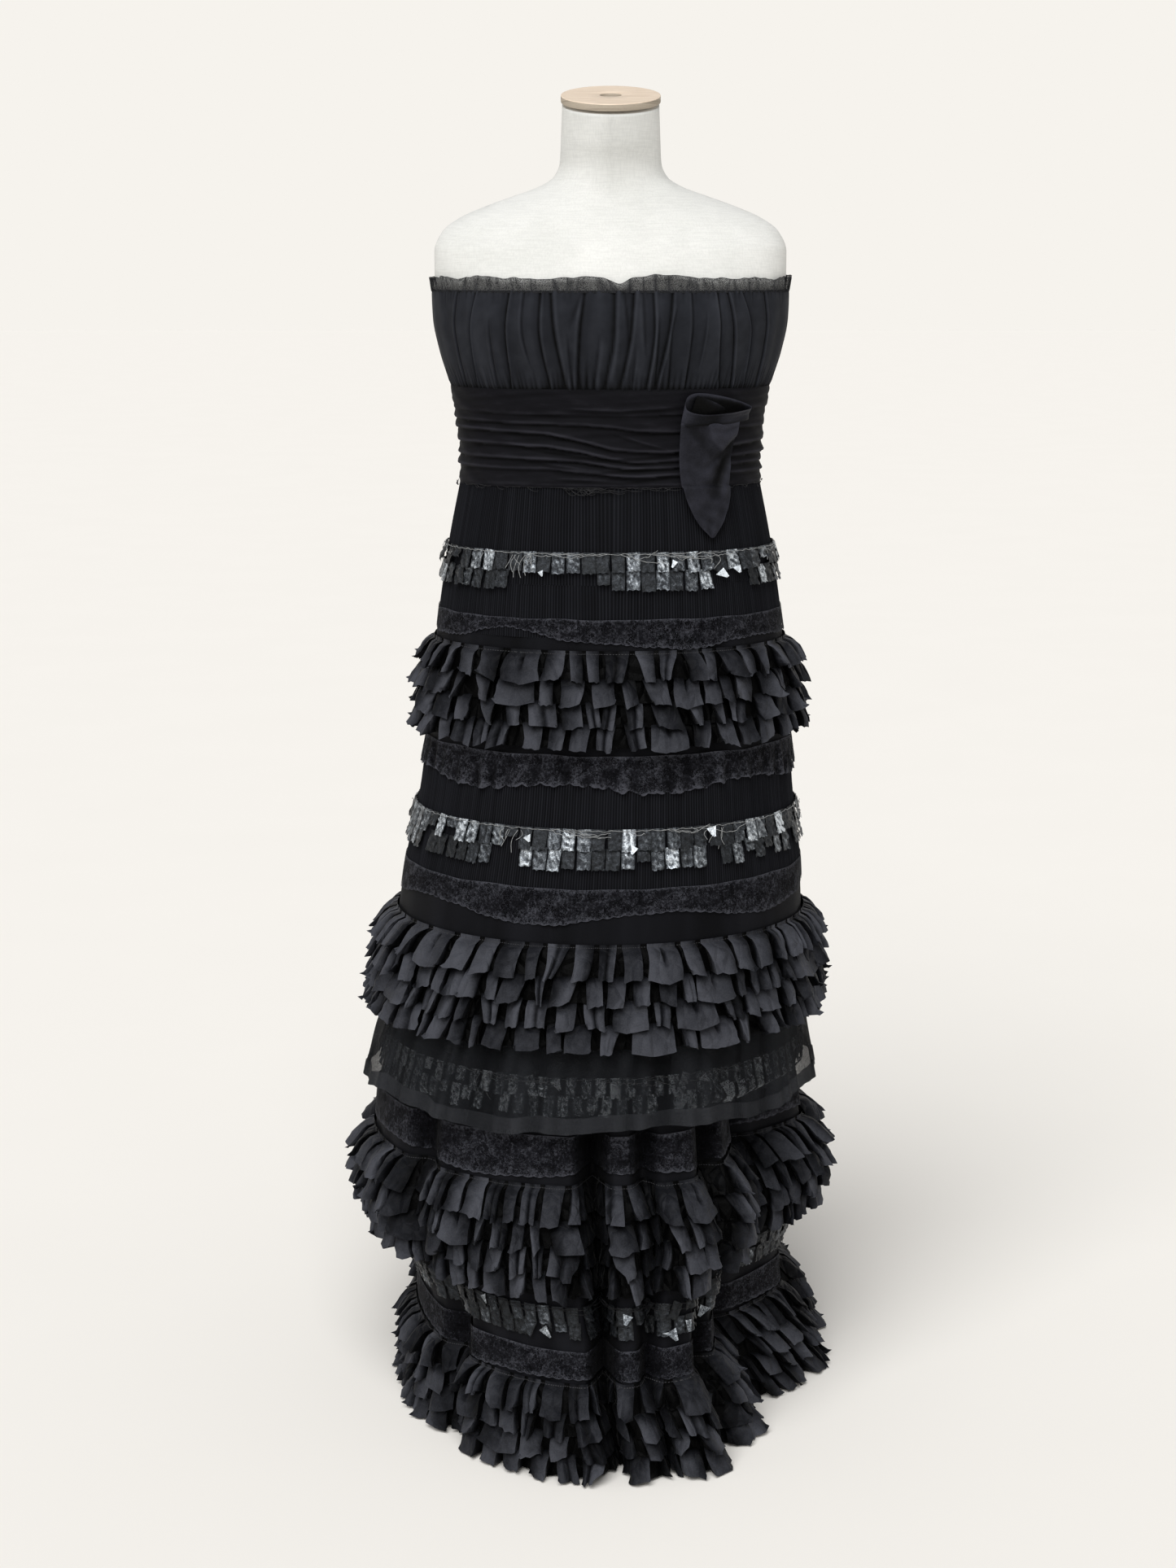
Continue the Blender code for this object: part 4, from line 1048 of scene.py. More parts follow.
def make_sash_tail():
    """The pointed end: a raised facet at its top right, and a deep fold from there to its middle."""
    levels = np.linspace(TAIL[0].height, TAIL[-1].height, 100)
    heights, *others = np.array(TAIL)[::-1].T
    left, right, stand = (monotone(heights, values, levels) for values in others)
    share = np.linspace(0, 1, 70)[None, :]
    down = np.linspace(0, 1, 100)[:, None]
    turn = np.radians(left[:, None] + (right - left)[:, None] * share)
    z = levels[:, None] + 0 * share
    wide, long = 0.064, 0.126
    x, y = share * wide + 0 * down, down * long + 0 * share

    def path(*places):
        """A crease's line over the tail: shares across and down it, and how strong the crease is there."""
        return [(a * wide, b * long, w) for a, b, w in places]

    upper_line = path((0.10, 0.01, 0.7), (0.27, 0.12, 0.8), (0.55, 0.275, 0.7), (0.62, 0.32, 0.3))
    crease = beside(x, y, upper_line, 0.0050)
    lower_line = path((0.98, 0.185, 0.5), (0.87, 0.37, 1.0), (0.78, 0.485, 0.9), (0.60, 0.63, 0.3))
    valley = beside(x, y, lower_line, 0.0066)
    edge_line = beside(x, y, path((0.97, 0.150, 0.6), (0.76, 0.29, 1.0), (0.44, 0.41, 0.4)), 0.0034)
    corners = (0.42, 0.02), (1.04, -0.01), (1.04, 0.12), (0.76, 0.265), (0.52, 0.17)
    facet = within(x, y, [(a * wide, b * long) for a, b in corners], 0.0030)
    slope = beside(x, y, path((0.76, 0.29, 0.3), (0.60, 0.36, 1.0), (0.46, 0.46, 0.8)), 0.0070)
    top_fold = beside(x, y, path((0.52, 0.080, 0.3), (0.75, 0.085, 0.8), (0.98, 0.045, 0.9)), 0.0024)
    strip = beside(x, y, path((0.99, 0.36, 0.9), (0.96, 0.47, 1.0), (0.84, 0.64, 0.8)), 0.0048)
    bulge = bell(share, 0.22, 0.26) * np.sin(unit(down * 1.15) * math.pi)
    stand = stand[:, None] + 0.0020 * bulge + 0.0034 * facet - 0.0016 * crease - 0.0042 * valley
    stand = stand - 0.0020 * edge_line - 0.0012 * top_fold + 0.0014 * strip
    edge = np.exp(-share / 0.022) + np.exp(-(1 - share) / 0.022)
    lip = bell(down, 0.012, 0.012)
    flat = crumple(31, x, y, 0.022, 1)
    # Painted light and shade that follow the relief: the facet, strip, slope, edges, top lip and tip lighter,
    # the creases, valley and folds darker.
    tone = 0.56 + 0.06 * bulge + 0.30 * facet - 0.20 * crease - 0.46 * valley
    tone = tone - 0.16 * edge_line - 0.22 * top_fold + 0.16 * strip
    tone = tone + 0.12 * slope + 0.12 * edge + 0.26 * lip + 0.12 * unit(down - 0.6) + 0.05 * flat
    stand = np.maximum(stand + 0.0004 * flat, 0.0068)
    points, away = front_of_gown(z, turn)
    points = points + away * stand[..., None]
    piece = grid_piece("sash_tail_end", "sash", "satin", "sash_tail", points, closed=False, tone=unit(tone))


def make_frayed_edge():
    """Raw threads along the cummerbund's foot, with a thicker tangle at the front left."""
    chance = np.random.RandomState(70)
    lines = []
    for i in range(110):
        tangle = i < 34
        turn = math.radians(chance.uniform(-16, -2) if tangle else chance.uniform(-180, 180))
        length = chance.uniform(0.005, 0.018)
        drop = chance.uniform(0.001, 0.009) if tangle else chance.uniform(0.0, 0.005)
        steps = np.linspace(0, 1, 9)
        bend = chance.uniform(-0.004, 0.004)
        t = turn + steps * length / 0.13
        z = 1.0672 - drop * np.sin(steps * math.pi * chance.uniform(0.5, 1.2)) + bend * steps * (1 - steps)
        off = 0.0022 + 0.0016 * np.sin(steps * 3.0 + chance.uniform(0, 3)) ** 2
        lines.append(skirt.at(np.minimum(z, 1.0665), t, off + 0.001))
    piece = threads_piece("cummerbund_frayed_threads", lines, 0.00032)
    finish_piece(piece, "fray", "satin")


# The skirts

PLEATED_STRIPS = ((SKIRT_TOP, 0.962), (0.962, 0.905), (0.752, 0.690), (0.690, 0.610))
PLAIN_STRIPS = ((0.9055, 0.7515), (0.6105, UPPER_SKIRT_FOOT))
CRYSTAL_PLEAT = 0.0028


def make_upper_skirt():
    """Crystal pleats between the trims, and plain strips above and under the ruffles."""
    parts = []
    for seed, (top, foot) in enumerate(PLEATED_STRIPS, 80):
        _, arcs = skirt.arc((top + foot) / 2)
        pleats = round(arcs[-1] / CRYSTAL_PLEAT)
        columns = np.arange(4 * pleats)[None, :]
        turns = -math.pi + 2 * math.pi * columns / (4 * pleats)
        z = rows_of(top, foot, 0.0105)
        uneven = 1 + 0.16 * wander(seed, turns, (5, 9, 17, 31))
        uneven = uneven + 0.12 * wander(seed + 3, turns, (71, 103, 149))
        sway = 0.0030 * wander(seed + 10, turns, (4, 7, 11, 19)) * np.sin((z - foot) / (top - foot) * 3.1)
        wave = np.array([0.5, 1.0, 0.5, 0.0])[columns % 4]
        depth = 0.00130 * np.clip(uneven, 0.4, 1.8)
        chance = np.random.RandomState(seed + 20)
        own = np.repeat(chance.uniform(-0.11, 0.11, pleats), 4)[None, :]
        # Painted light on each pleat's ridge and painted shade in its valley, with a random tone for each
        # pleat.
        tone = unit(0.46 + (wave - 0.5) * 0.62 * np.clip(uneven, 0.3, 1.8) + own + 0 * z)
        parts.append(grid_parts(skirt.at(z, turns + sway, depth * wave - 0.0004), True, tone=tone))
    for top, foot in PLAIN_STRIPS:
        turns = ring_turns(180)
        z = rows_of(top, foot, 0.008)
        soft = 0.0010 * wander(90, turns, (7, 11, 16, 23))
        # Painted light where the plain strip swells out, and a random cloudy change.
        tone = 0.42 + 150 * soft + 0.07 * wander(92, turns + 0.02 * np.sin(9 * z), (37, 58, 83)) + 0 * z
        parts.append(grid_parts(skirt.at(z, turns, soft - 0.0004), True, tone=tone))
    piece = mesh_of("skirt_upper_plisse", *joined(parts))
    finish_piece(piece, "plisse", "crepe", "skirt_upper")
    piece.data.materials.append(LOOKS["crepe"])
    centres = np.zeros(len(piece.data.polygons) * 3)
    piece.data.polygons.foreach_get("center", centres)
    z = centres.reshape(-1, 3)[:, 2]
    (first_top, first_foot), (second_top, _) = PLAIN_STRIPS
    plain = ((z < first_top) & (z > first_foot)) | (z < second_top)
    piece.data.polygons.foreach_set("material_index", plain.astype(np.int32))


def make_lower_skirt():
    turns = ring_turns(540)
    z = rows_of(0.519, 0.0075, 0.0095)
    grown = unit((0.40 - z) / 0.1)
    soft = grown * 0.0012 * wander(95, turns, (12, 19, 28, 37))
    # Painted light where the cloth swells out, and painted shade in the bottoms of the folds.
    tone = (0.50 + 100 * soft) * (1 - 0.9 * folded_away(z, turns))
    points = underskirt.at(z, turns, soft - 0.0006)
    piece = grid_piece("skirt_lower_crepe", "crepe", "crepe", "skirt_lower", points, tone=tone)


def make_overlay():
    """The sheer tier: soft folds, and a turned-up hem that shows as a paler strip."""
    turns = ring_turns(600)
    hem = 0.377 + 0.005 * np.sin(5 * turns + 0.4) + 0.0018 * wander(98, turns, (9, 14, 22))
    share = np.linspace(0, 1, 26)[:, None]
    top = 0.487
    z = top + (hem - top) * share
    folds = wander(99, turns, (10, 15, 23, 34))
    fine = wander(100, turns + 0.03 * share, (46, 61, 83))
    soft = share**1.4 * (0.0034 * folds + 0.0017 * fine)
    off = 0.0019 + soft * unit((UPPER_SKIRT_FOOT - z) / 0.03) + share * 0.001
    off = np.maximum(off, 0.0010)
    # The net lies closer together at the sides, where the folds gather it.
    sides = unit((np.abs(np.sin(turns)) - 0.80) / 0.16)
    tone = unit(0.36 + 0.26 * folds + 0.24 * fine) * (1 - sides) + sides + 0 * share
    points = overlay.at(z, turns, off)
    piece = grid_piece("tulle_overlay_tier", "tulle", "tulle", "tulle_overlay", points, tone=tone)
    share = np.linspace(0, 1, 6)[:, None]
    z = hem + 0.017 * (1 - share) + 0.0015 * wander(101, turns, (8, 13, 21)) * (1 - share)
    off = np.broadcast_to(off[-1:], z.shape) + 0.0006
    points, tone = overlay.at(z, turns, off), np.broadcast_to(tone[-1:], z.shape)
    band = grid_piece("tulle_overlay_hem", "tulle_hem", "tulle", "tulle_overlay", points, tone=tone)


# The trims


def make_lace(band, panel, seed, gather=0.0):
    """A lace strip with large scallops, small teeth along its foot, and soft lifts where it isn't held."""
    turns = ring_turns(900)
    share = np.linspace(0, 1, 9)[:, None]
    teeth = 0.0016 * np.abs(np.sin(turns * 62))
    if band is UPPER_LACE[0]:
        # The first band is cut narrow at the front left and has its deepest lobe at the front right.
        deep = bell(turns, math.radians(26), math.radians(15))
        narrow = bell(turns, -math.radians(36), math.radians(17))
        foot = 0.9020 - 0.0080 * deep + 0.0125 * narrow + 0.0020 * np.sin(5 * turns + 4) * (1 - deep)
    else:
        foot = band.foot + band.scallop * np.sin(band.scallops * turns + band.top * 20)
    foot = foot - teeth + 0.0008 * wander(seed, turns, (11, 17, 29))
    top = band.top + 0.0007 * wander(seed + 1, turns, (9, 13, 20))
    z = top + (foot - top) * share
    lift = 0.0014 * np.clip(wander(seed + 2, turns, (8, 13, 21, 30)), 0, None)
    off = 0.0016 + 0.0004 * (1 - share) + lift * share**1.5
    tone = 0.50 + 0.36 * bell(share, 1, 0.10) + 0.34 * bell(share, 0, 0.07) + 0 * turns
    clouds = 0.10 * wander(seed + 6, turns + share * 0.3, (12, 19, 31, 44))
    tone = tone + clouds * (share > 0.12) * (share < 0.85)
    if gather:
        folds = wander(seed + 3, turns, (34, 47, 58, 71))
        off = off + gather * share**0.7 * (0.5 + 0.5 * folds)
        off = off + 0.0008 * wander(seed + 4, turns + 3 * share, (90, 120)) * share
        z = z + 0.0022 * share * wander(seed + 5, turns, (40, 55, 66))
        # Painted light on the gathered folds where they stand out.
        tone = tone + 0.22 * folds * share
    if panel is underskirt:
        # Painted shade in the bottoms of the underskirt's folds.
        tone = tone * (1 - 0.8 * folded_away(z, turns))
    points = panel.at(z, turns, np.maximum(off, 0.0011))
    piece = grid_piece(f"{band.name}_net", "lace", "lace", band.name, points, tone=unit(tone))
    _, arcs = panel.arc((band.top + band.foot) / 2)


# Loose scraps of foil on each band: degrees from the centre front, height, width, length and lean.
SCRAPS = {
    "foil_band_1": (
        (37, 0.976, 0.009, 0.010, 0.9), (45, 0.980, 0.009, 0.007, 0.3), (20, 0.989, 0.005, 0.008, -0.6),
        (-22, 0.978, 0.006, 0.006, 0.5), (215, 0.980, 0.009, 0.010, 0.4),
    ),
    "foil_band_2": (
        (31, 0.699, 0.011, 0.010, 0.2), (-23, 0.692, 0.008, 0.007, 0.7), (8, 0.683, 0.007, 0.008, -0.5),
        (150, 0.690, 0.010, 0.010, -0.5),
    ),
    "foil_band_3": (
        (-10, 0.428, 0.010, 0.012, 0.6), (24.4, 0.408, 0.012, 0.014, -0.5), (36, 0.414, 0.011, 0.014, 0.2),
        (29, 0.425, 0.008, 0.009, 0.9),
    ),
    "foil_band_4": (
        (-32.4, 0.186, 0.009, 0.009, 0.5), (-16.2, 0.163, 0.010, 0.012, 0.8),
        (7.2, 0.180, 0.010, 0.010, -0.4), (19, 0.158, 0.011, 0.012, 0.5), (24, 0.166, 0.006, 0.012, 0.0),
        (37.8, 0.158, 0.009, 0.011, -0.5), (130, 0.170, 0.010, 0.012, 0.5),
    ),
}
# The foil's tabs: from one to the next, their width, and the depth of their dents, in metres.
TAB_PITCH = 0.0160
TAB_WIDTH = 0.0153
DENTS = 0.00085
MEAN_RADIUS = 0.19
# Where the lower row's tabs are mostly gone, in degrees from the centre front.
LOST = {
    "foil_band_1": ((-36, -12), (34, 50)),
    "foil_band_2": ((-34, -24), (28, 34)),
    "foil_band_3": (),
    "foil_band_4": ((10, 15),),
}


def foil_tabs(band, panel, row, chance, bright, even):
    """One of a band's two overlapping rows of crinkled tabs, some of them bent, torn, turned or missing.

    Bright scales the tone of every tab, and even is the least share of it that a tab has.
    """
    parts = []
    half = (band.top - band.foot) / 2
    top = band.top - row * half * 0.98
    turns, arcs = panel.arc(top)
    count = round(arcs[-1] / TAB_PITCH)
    for i in range(count):
        # By fate a tab is missing, torn short, turned aside, or given a painted glint.
        fate = chance.uniform()
        pieces = chance.uniform(size=12)
        middle = (i + 0.5 + 0.10 * (pieces[6] - 0.5)) / count * arcs[-1]
        degrees = math.degrees(np.interp(middle, arcs, turns))
        lost = any(a < degrees < b for a, b in LOST[band.name])
        if row and (fate < 0.05 or lost and fate < 0.85):
            continue
        width = TAB_WIDTH * (0.93 + 0.08 * pieces[0]) * (0.90 if panel is underskirt else 1.0)
        length = (half + 0.0012) * (0.93 + 0.14 * pieces[1])
        turn = (pieces[2] - 0.5) * 0.10
        proud = 0.0016 + 0.0024 * pieces[3]
        if fate < 0.10 or row and lost:
            length *= 0.45 + 0.25 * pieces[4]
        elif fate < 0.14:
            turn = math.copysign(0.30 + 0.4 * pieces[4], pieces[5] - 0.5)
            proud += 0.002
        a = np.linspace(-0.5, 0.5, 7)[None, :] * width
        b = np.linspace(0, 1, 8)[:, None] * length
        across = a * (1 - 0.06 * (b / length)) * math.cos(turn) + b * math.sin(turn)
        down = b * math.cos(turn) - a * math.sin(turn)
        down = down + 0.0007 * np.sin(a * 900 + 6 * pieces[7]) * (b / length)
        tilt = (pieces[8] - 0.5) * 0.0034
        dents = crumple(int(1000 * pieces[9]) + i, a + 0 * b, b + 0 * a, 0.0068, DENTS)
        off = 0.0028 + proud * (b / length) ** 0.8 + tilt * a / width + dents + 0.0009 * (1 - row)
        # Each tab's tone differs at random, and by fate a few get a painted glint.
        shade = bright * (even + (0.90 - even) * pieces[10] ** 2.4 + 0.28 * (fate > 0.93))
        # Painted shade in the bottoms of the underskirt's folds.
        if panel is underskirt:
            shade = shade * (1 - 0.85 * folded_away(top, math.radians(degrees)))
        # Painted shade along each tab's long edges, and painted light where its dents stand out.
        rim = unit((np.abs(a) / width - 0.34) / 0.16)
        shade = shade * (1 + 0.45 * dents / DENTS) * (1 - (0.80 if panel is underskirt else 0.45) * rim)
        t = np.interp(middle + across, arcs, turns)
        points = panel.at(top - down, t, np.maximum(off, 0.0014))
        parts.append(grid_parts(points, False, tone=np.clip(shade, 0, 1.5)))
    return parts


def foil_scraps(band, panel, bright):
    parts = []
    turns, arcs = panel.arc((band.top + band.foot) / 2)
    for degrees, height, width, length, lean in SCRAPS[band.name]:
        middle = arc_at(degrees, turns, arcs)
        a = np.linspace(-0.5, 0.5, 5)[None, :]
        b = np.linspace(0, 1, 5)[:, None]
        across = width * a * (1 - 0.75 * b) + length * b * math.sin(lean)
        down = length * b * math.cos(lean) - width * a * math.sin(lean) * (1 - 0.75 * b)
        t = np.interp(middle + across, arcs, turns)
        off = 0.0075 + 0.0030 * b + 0.0012 * a + 0 * t
        parts.append(grid_parts(panel.at(height - down, t, off), False, tone=1.25 * min(1, bright + 0.08)))
    return parts


def foil_threads(band, panel, seed, chance):
    """The stitching along a band's top, and the loops and the ends of thread that hang from it."""
    lines = []
    stitches = np.linspace(-math.pi, math.pi, 720)
    rise = 0.0006 * wander(seed + 1, stitches, (40, 67, 90)) + 0.0003 * np.sin(stitches * 120)
    proud = 0.0052 + 0.0004 * np.sin(stitches * 240)
    lines.append(panel.at(np.full(720, band.top - 0.0016) + rise, stitches, proud))
    for i in range(16):
        start = chance.uniform(-math.pi, math.pi) if i > 7 else math.radians(chance.uniform(-30, 34))
        steps = np.linspace(0, 1, 14)
        reach, sag = chance.uniform(0.02, 0.06), chance.uniform(0.001, 0.007)
        loops = chance.uniform(0.5, 1.5)
        z = band.top - 0.001 - sag * np.sin(steps * math.pi * loops) - chance.uniform(0, 0.006) * steps
        z = z + 0.0012 * wander(seed + 3 + i, steps * 6, (2, 3, 5))
        turn = start + steps * reach / MEAN_RADIUS
        lines.append(panel.at(z, turn, 0.0060 + 0.002 * np.sin(steps * 5) ** 2))
    for i in range(16):
        if i > 9:
            start = chance.uniform(-math.pi, math.pi)
        else:
            start = math.radians(chance.choice((-29, 33)) + chance.uniform(-4, 4))
        steps = np.linspace(0, 1, 11)
        fall, lean = chance.uniform(0.008, 0.026), chance.uniform(-0.008, 0.008)
        curl = chance.uniform(-0.0055, 0.0055) * np.sin(chance.uniform(2.2, 5.0) * steps)
        turn = start + (lean * steps + curl) / MEAN_RADIUS
        lines.append(panel.at(band.top - 0.004 - fall * steps, turn, 0.0055 + 0.002 * steps))
    return lines


def make_foil(band, panel, seed, bright, even=0.18):
    chance = np.random.RandomState(seed)
    parts = [part for row in range(2) for part in foil_tabs(band, panel, row, chance, bright, even)]
    parts += foil_scraps(band, panel, bright)
    piece = mesh_of(f"{band.name}_tabs", *joined(parts))
    finish_piece(piece, "foil", "foil", band.name)
    _, arcs = panel.arc(band.top)
    threads = threads_piece(f"{band.name}_stitching", foil_threads(band, panel, seed, chance), 0.00030)
    finish_piece(threads, "thread" if bright > 0.5 else "fray", "foil")


# One pleat's cross-section, from the bottom of one gap to the bottom of the next: how far out each point
# stands at the header, where the pleat is caught flat, and at the foot, where it has opened, which points are
# on the pleat's face, and where they lie across it.
HEADER_OUT = np.array([-0.20, -0.10, 0.50, 0.66, 0.74, 0.76, 0.74, 0.66, 0.50, -0.10])
FOOT_OUT = np.array([-1.05, -0.90, 0.74, 0.84, 0.90, 0.90, 0.90, 0.84, 0.74, -0.90])
FACE = np.array([0.0, 0.0, 1.0, 1.0, 1.0, 1.0, 1.0, 1.0, 1.0, 0.0])
FACE_PLACES = np.array([0.0, 0.0, 0.0, 0.07, 0.30, 0.50, 0.70, 0.93, 1.0, 1.0])
FAN_PLACES = np.array([0.0, 0.0, 0.0, 0.07, 0.40, 0.50, 0.60, 0.93, 1.0, 1.0])
MIDDLE = np.eye(10)[5]
# How much each point takes part in the pleat's lean.
MOVED = np.array([0, 0.5, 1, 1, 1, 1, 1, 1, 1, 0.5])
# The cross-sections' places, as shares of the way from the header to the foot.
STEPS = np.array([-0.14, 0.0, 0.10, 0.24, 0.42, 0.62, 0.82, 1.0])
TIER_LIGHT = {"ruffle_1": 0.90, "ruffle_2": 1.04, "ruffle_3": 0.90, "ruffle_4": 0.84}
TIER_TWIST = {"ruffle_1": 1.0, "ruffle_2": 0.35, "ruffle_3": 0.30, "ruffle_4": 0.80}
# A strip's cut length, and its length along the modelled pleats, which places the weave and the stitches.
# Both are multiples of the girth.
PLEATED_RUN = 2.05

# Pleats that are caught flat and open as one broad fan, by tier and row: degrees from the centre, and width.
FANS = {
    (1, 1): ((-27, 0.045),),
    (1, 2): ((-29, 0.048), (23, 0.034)),
    (1, 3): ((160, 0.042),),
    (1, 4): ((17, 0.044),),
    (2, 1): ((16, 0.040), (-48, 0.044)),
    (2, 2): ((30, 0.046), (66, 0.044), (200, 0.046)),
    (2, 3): ((8, 0.042), (25, 0.050), (-60, 0.042)),
    (2, 4): ((14, 0.052), (31, 0.046)),
    (3, 1): ((-46, 0.046), (25, 0.038), (165, 0.044)),
    (3, 2): ((-33, 0.040),),
    (3, 3): ((-52, 0.048), (42, 0.040)),
    (3, 4): ((50, 0.042),),
    (4, 1): ((24, 0.046),),
    (4, 2): ((-40, 0.052), (29, 0.050)),
    (4, 3): ((-30, 0.050), (36, 0.052), (190, 0.048)),
    (4, 4): ((-42, 0.056), (27, 0.050)),
}


def pleat_widths(tier, row, turns, arcs, chance):
    """Each pleat's width round the header, with the named fans in their places."""
    total = arcs[-1]
    named = FANS[int(tier.name[-1]), row + 1]
    fans = sorted((arc_at(degrees, turns, arcs), width) for degrees, width in named)
    widths, wide, here = [], [], 0.0
    for centre, width in [*fans, (total + 0.0001, 0)]:
        room = centre - width / 2 - here
        count = max(1, round(room / tier.pitch))
        shares = chance.uniform(0.62, 1.40, count)
        widths += list(shares / shares.sum() * room)
        wide += [False] * count
        if width:
            widths.append(width)
            wide.append(True)
            here = centre + width / 2
    return np.array(widths), np.array(wide)


def open_pleats(tier, row, wide, chance, seed):
    """How the pleats of a strip open, from flat box pleats at the header to the foot, each on its own.

    Arrays by step, pleat and point: the place across the pleat's width, how far it stands out and falls, and
    its tone, with painted light and shade.
    """
    count = len(wide)
    broad = wide[:, None]

    def each(low, high):
        return chance.uniform(low, high, count)[:, None]

    # Some pleats have turned on edge, and show as a narrow slanting strip.
    twist = TIER_TWIST[tier.name]
    turned = ~broad & (each(0, 1) < 0.07 + 0.16 * twist)
    gap = np.where(broad, 0.12, np.where(turned, each(0.60, 0.72), each(0.22, 0.46)))
    under = np.where(broad, 0.05, each(0.07, 0.13))
    skew = np.where(broad, each(-0.3, 0.3), np.where(turned, np.sign(each(-1, 1)) * 1.5, each(-1.0, 1.0)))
    over, little = np.sign(each(-1, 1)) * 0.20, each(-1.0, 1.1) * (0.13 + 0.12 * twist)
    lean = np.where(broad, 0, np.where(turned, over, little))
    tilt = np.where(broad, each(-0.001, 0.001), each(-0.0038, 0.0038))
    drop = each(-0.0014, 0.0012)
    deep = each(0.85, 1.20)
    wave, slope, bow = each(-0.42, 0.42), each(-0.62, 0.62), each(-0.055, 0.055)
    sway = each(0, 2 * math.pi)
    fold, curl = each(0, 1), each(0, 1)
    across = np.where(broad, FAN_PLACES, FACE_PLACES)
    left, right = gap / 2, 1 - gap / 2
    places = left + (right - left) * across
    places[:, :1] = 0
    places[:, 1:2] = left + under
    places[:, 9:] = right - under
    columns = 0.11 + 0.78 * across
    columns[:, :1] = 0
    columns[:, 1:2] = 0.15
    columns[:, 9:] = 0.85
    crease = np.where(broad, 0.0, np.where(fold < 0.22, -0.80, np.where(fold > 0.86, 0.35, 0.0)))
    outs = (FOOT_OUT * deep + FACE * wave * np.sin(2 * math.pi * across) + MIDDLE * crease) * tier.wave
    outs = outs + FACE * skew * (across - 0.5) * (right - left) * 0.0170
    corner = (across == 0) * (FACE > 0) * (curl < 0.24) + (across == 1) * (FACE > 0) * (curl > 0.76)

    grown = unit(STEPS)[:, None, None]
    opened = grown**0.60
    shift = (lean * grown + bow * np.sin(grown * math.pi)) * MOVED
    local = columns + (places - columns) * opened + shift
    ripple = FACE * 0.0013 * np.sin(3.9 * grown + sway) * grown
    out = HEADER_OUT * 0.0011 * (1 - opened) + outs * grown**0.42 + ripple
    # Half of the broad fans are pinched in the middle under their header, with painted shade in the pinch,
    # and all are flat at the foot.
    notched = broad & (fold < 0.5)
    pinched = np.sin(unit(grown * 1.5) ** 0.6 * math.pi)
    out = out - MIDDLE * np.where(notched, 1.3, 0) * tier.wave * pinched
    out = out + corner * 0.0055 * unit((grown - 0.6) / 0.4) ** 1.5
    fall = grown**1.5 * (drop + tilt * (across - 0.5) * 2 * FACE)
    fall = fall + 0.0036 * corner * (grown > 0.95)
    fall = fall - 0.0040 * (broad & (FACE > 0)) * (1 - (2 * across - 1) ** 2) * grown**2
    raw = np.random.RandomState(seed + 60).uniform(-0.0011, 0.0011, (count, 10))
    fall = fall + grown**5 * raw
    # Painted light and shade: the gaps between pleats stay black, each face is lighter to one side, a valley
    # crease is darker and the turned pleats are lighter; each pleat's brightness also differs at random.
    shade = np.where(broad, each(0.62, 0.82), np.where(turned, each(0.80, 1.0), each(0.46, 0.98)))
    tone = FACE * shade * (1 + slope * (across - 0.5) * 2) * (1 - 0.60 * MIDDLE * (crease < 0))
    # Painted shadow: every row's tone is darker towards its header, most under the row above in every row but
    # the first.
    light = (0.72, 0.82, 0.86, 0.98, 1.0, 1.08) if row == 0 else (0.08, 0.12, 0.40, 0.88, 1.02, 1.12)
    hidden = np.interp(STEPS, (-0.14, 0.0, 0.12, 0.35, 0.7, 1.0), light)
    dimmed = 1 - 0.75 * MIDDLE * notched * pinched
    tone = TIER_LIGHT[tier.name] * tone * hidden[:, None, None] * dimmed
    return local, out, fall, tone


def make_ruffle_row(tier, row, panel, seed):
    """One strip: its pleats laid round the header in turn, on the panel that it is sewn to."""
    chance = np.random.RandomState(seed)
    pitch = (tier.top - tier.foot - ROW_OVERLAP) / 4
    strip = pitch + ROW_OVERLAP * (0.5 if row == 0 else 1)
    header = tier.top - pitch * row
    turns, arcs = panel.arc(header)
    widths, wide = pleat_widths(tier, row, turns, arcs, chance)
    total = arcs[-1]
    starts = np.concatenate([[0], np.cumsum(widths)[:-1]])
    local, out, fall, tone = open_pleats(tier, row, wide, chance, seed)
    flat = (len(STEPS), -1)
    arc = (starts[:, None] + widths[:, None] * local).reshape(flat)
    out, fall, tone = out.reshape(flat), fall.reshape(flat), tone.reshape(flat)
    z = np.maximum(header - STEPS[:, None] * strip + fall, 0.0020)
    t = np.interp(arc % total, arcs, turns)
    run = unit(STEPS)[:, None]
    calm, flare = 1.0, tier.flare * run ** (0.36 if row else 0.5)
    # In the underskirt's folds a row lies calmer and flares less, and its tone is darkened as painted shade.
    if panel is underskirt:
        near = folded_away(z, t)
        calm = 1 - 0.66 * near
        tone = tone * (1 - 0.90 * near)
        flare = flare * (1 - 0.45 * near)
    creases = crumple(seed + 7, arc, z, 0.012, 0.00125) * run
    off = 0.0022 + 0.0006 * (row % 2) + (out + 0.12 * tier.wave * run) * calm + creases
    points = panel.at(z, t, np.maximum(off, 0.0008 - 0.4 * flare), flare)
    lengths = np.arange(points.shape[1]) * (PLEATED_RUN * total / points.shape[1])
    down = (STEPS - STEPS[0]) * strip
    names = f"{tier.name}_row_{row + 1}_pleats", "ruffle", "satin", f"{tier.name}_row_{row + 1}"
    piece = grid_piece(*names, points, across=lengths, down=down, tone=unit(tone))
    piece.data.set_sharp_from_angle(angle=math.radians(66))


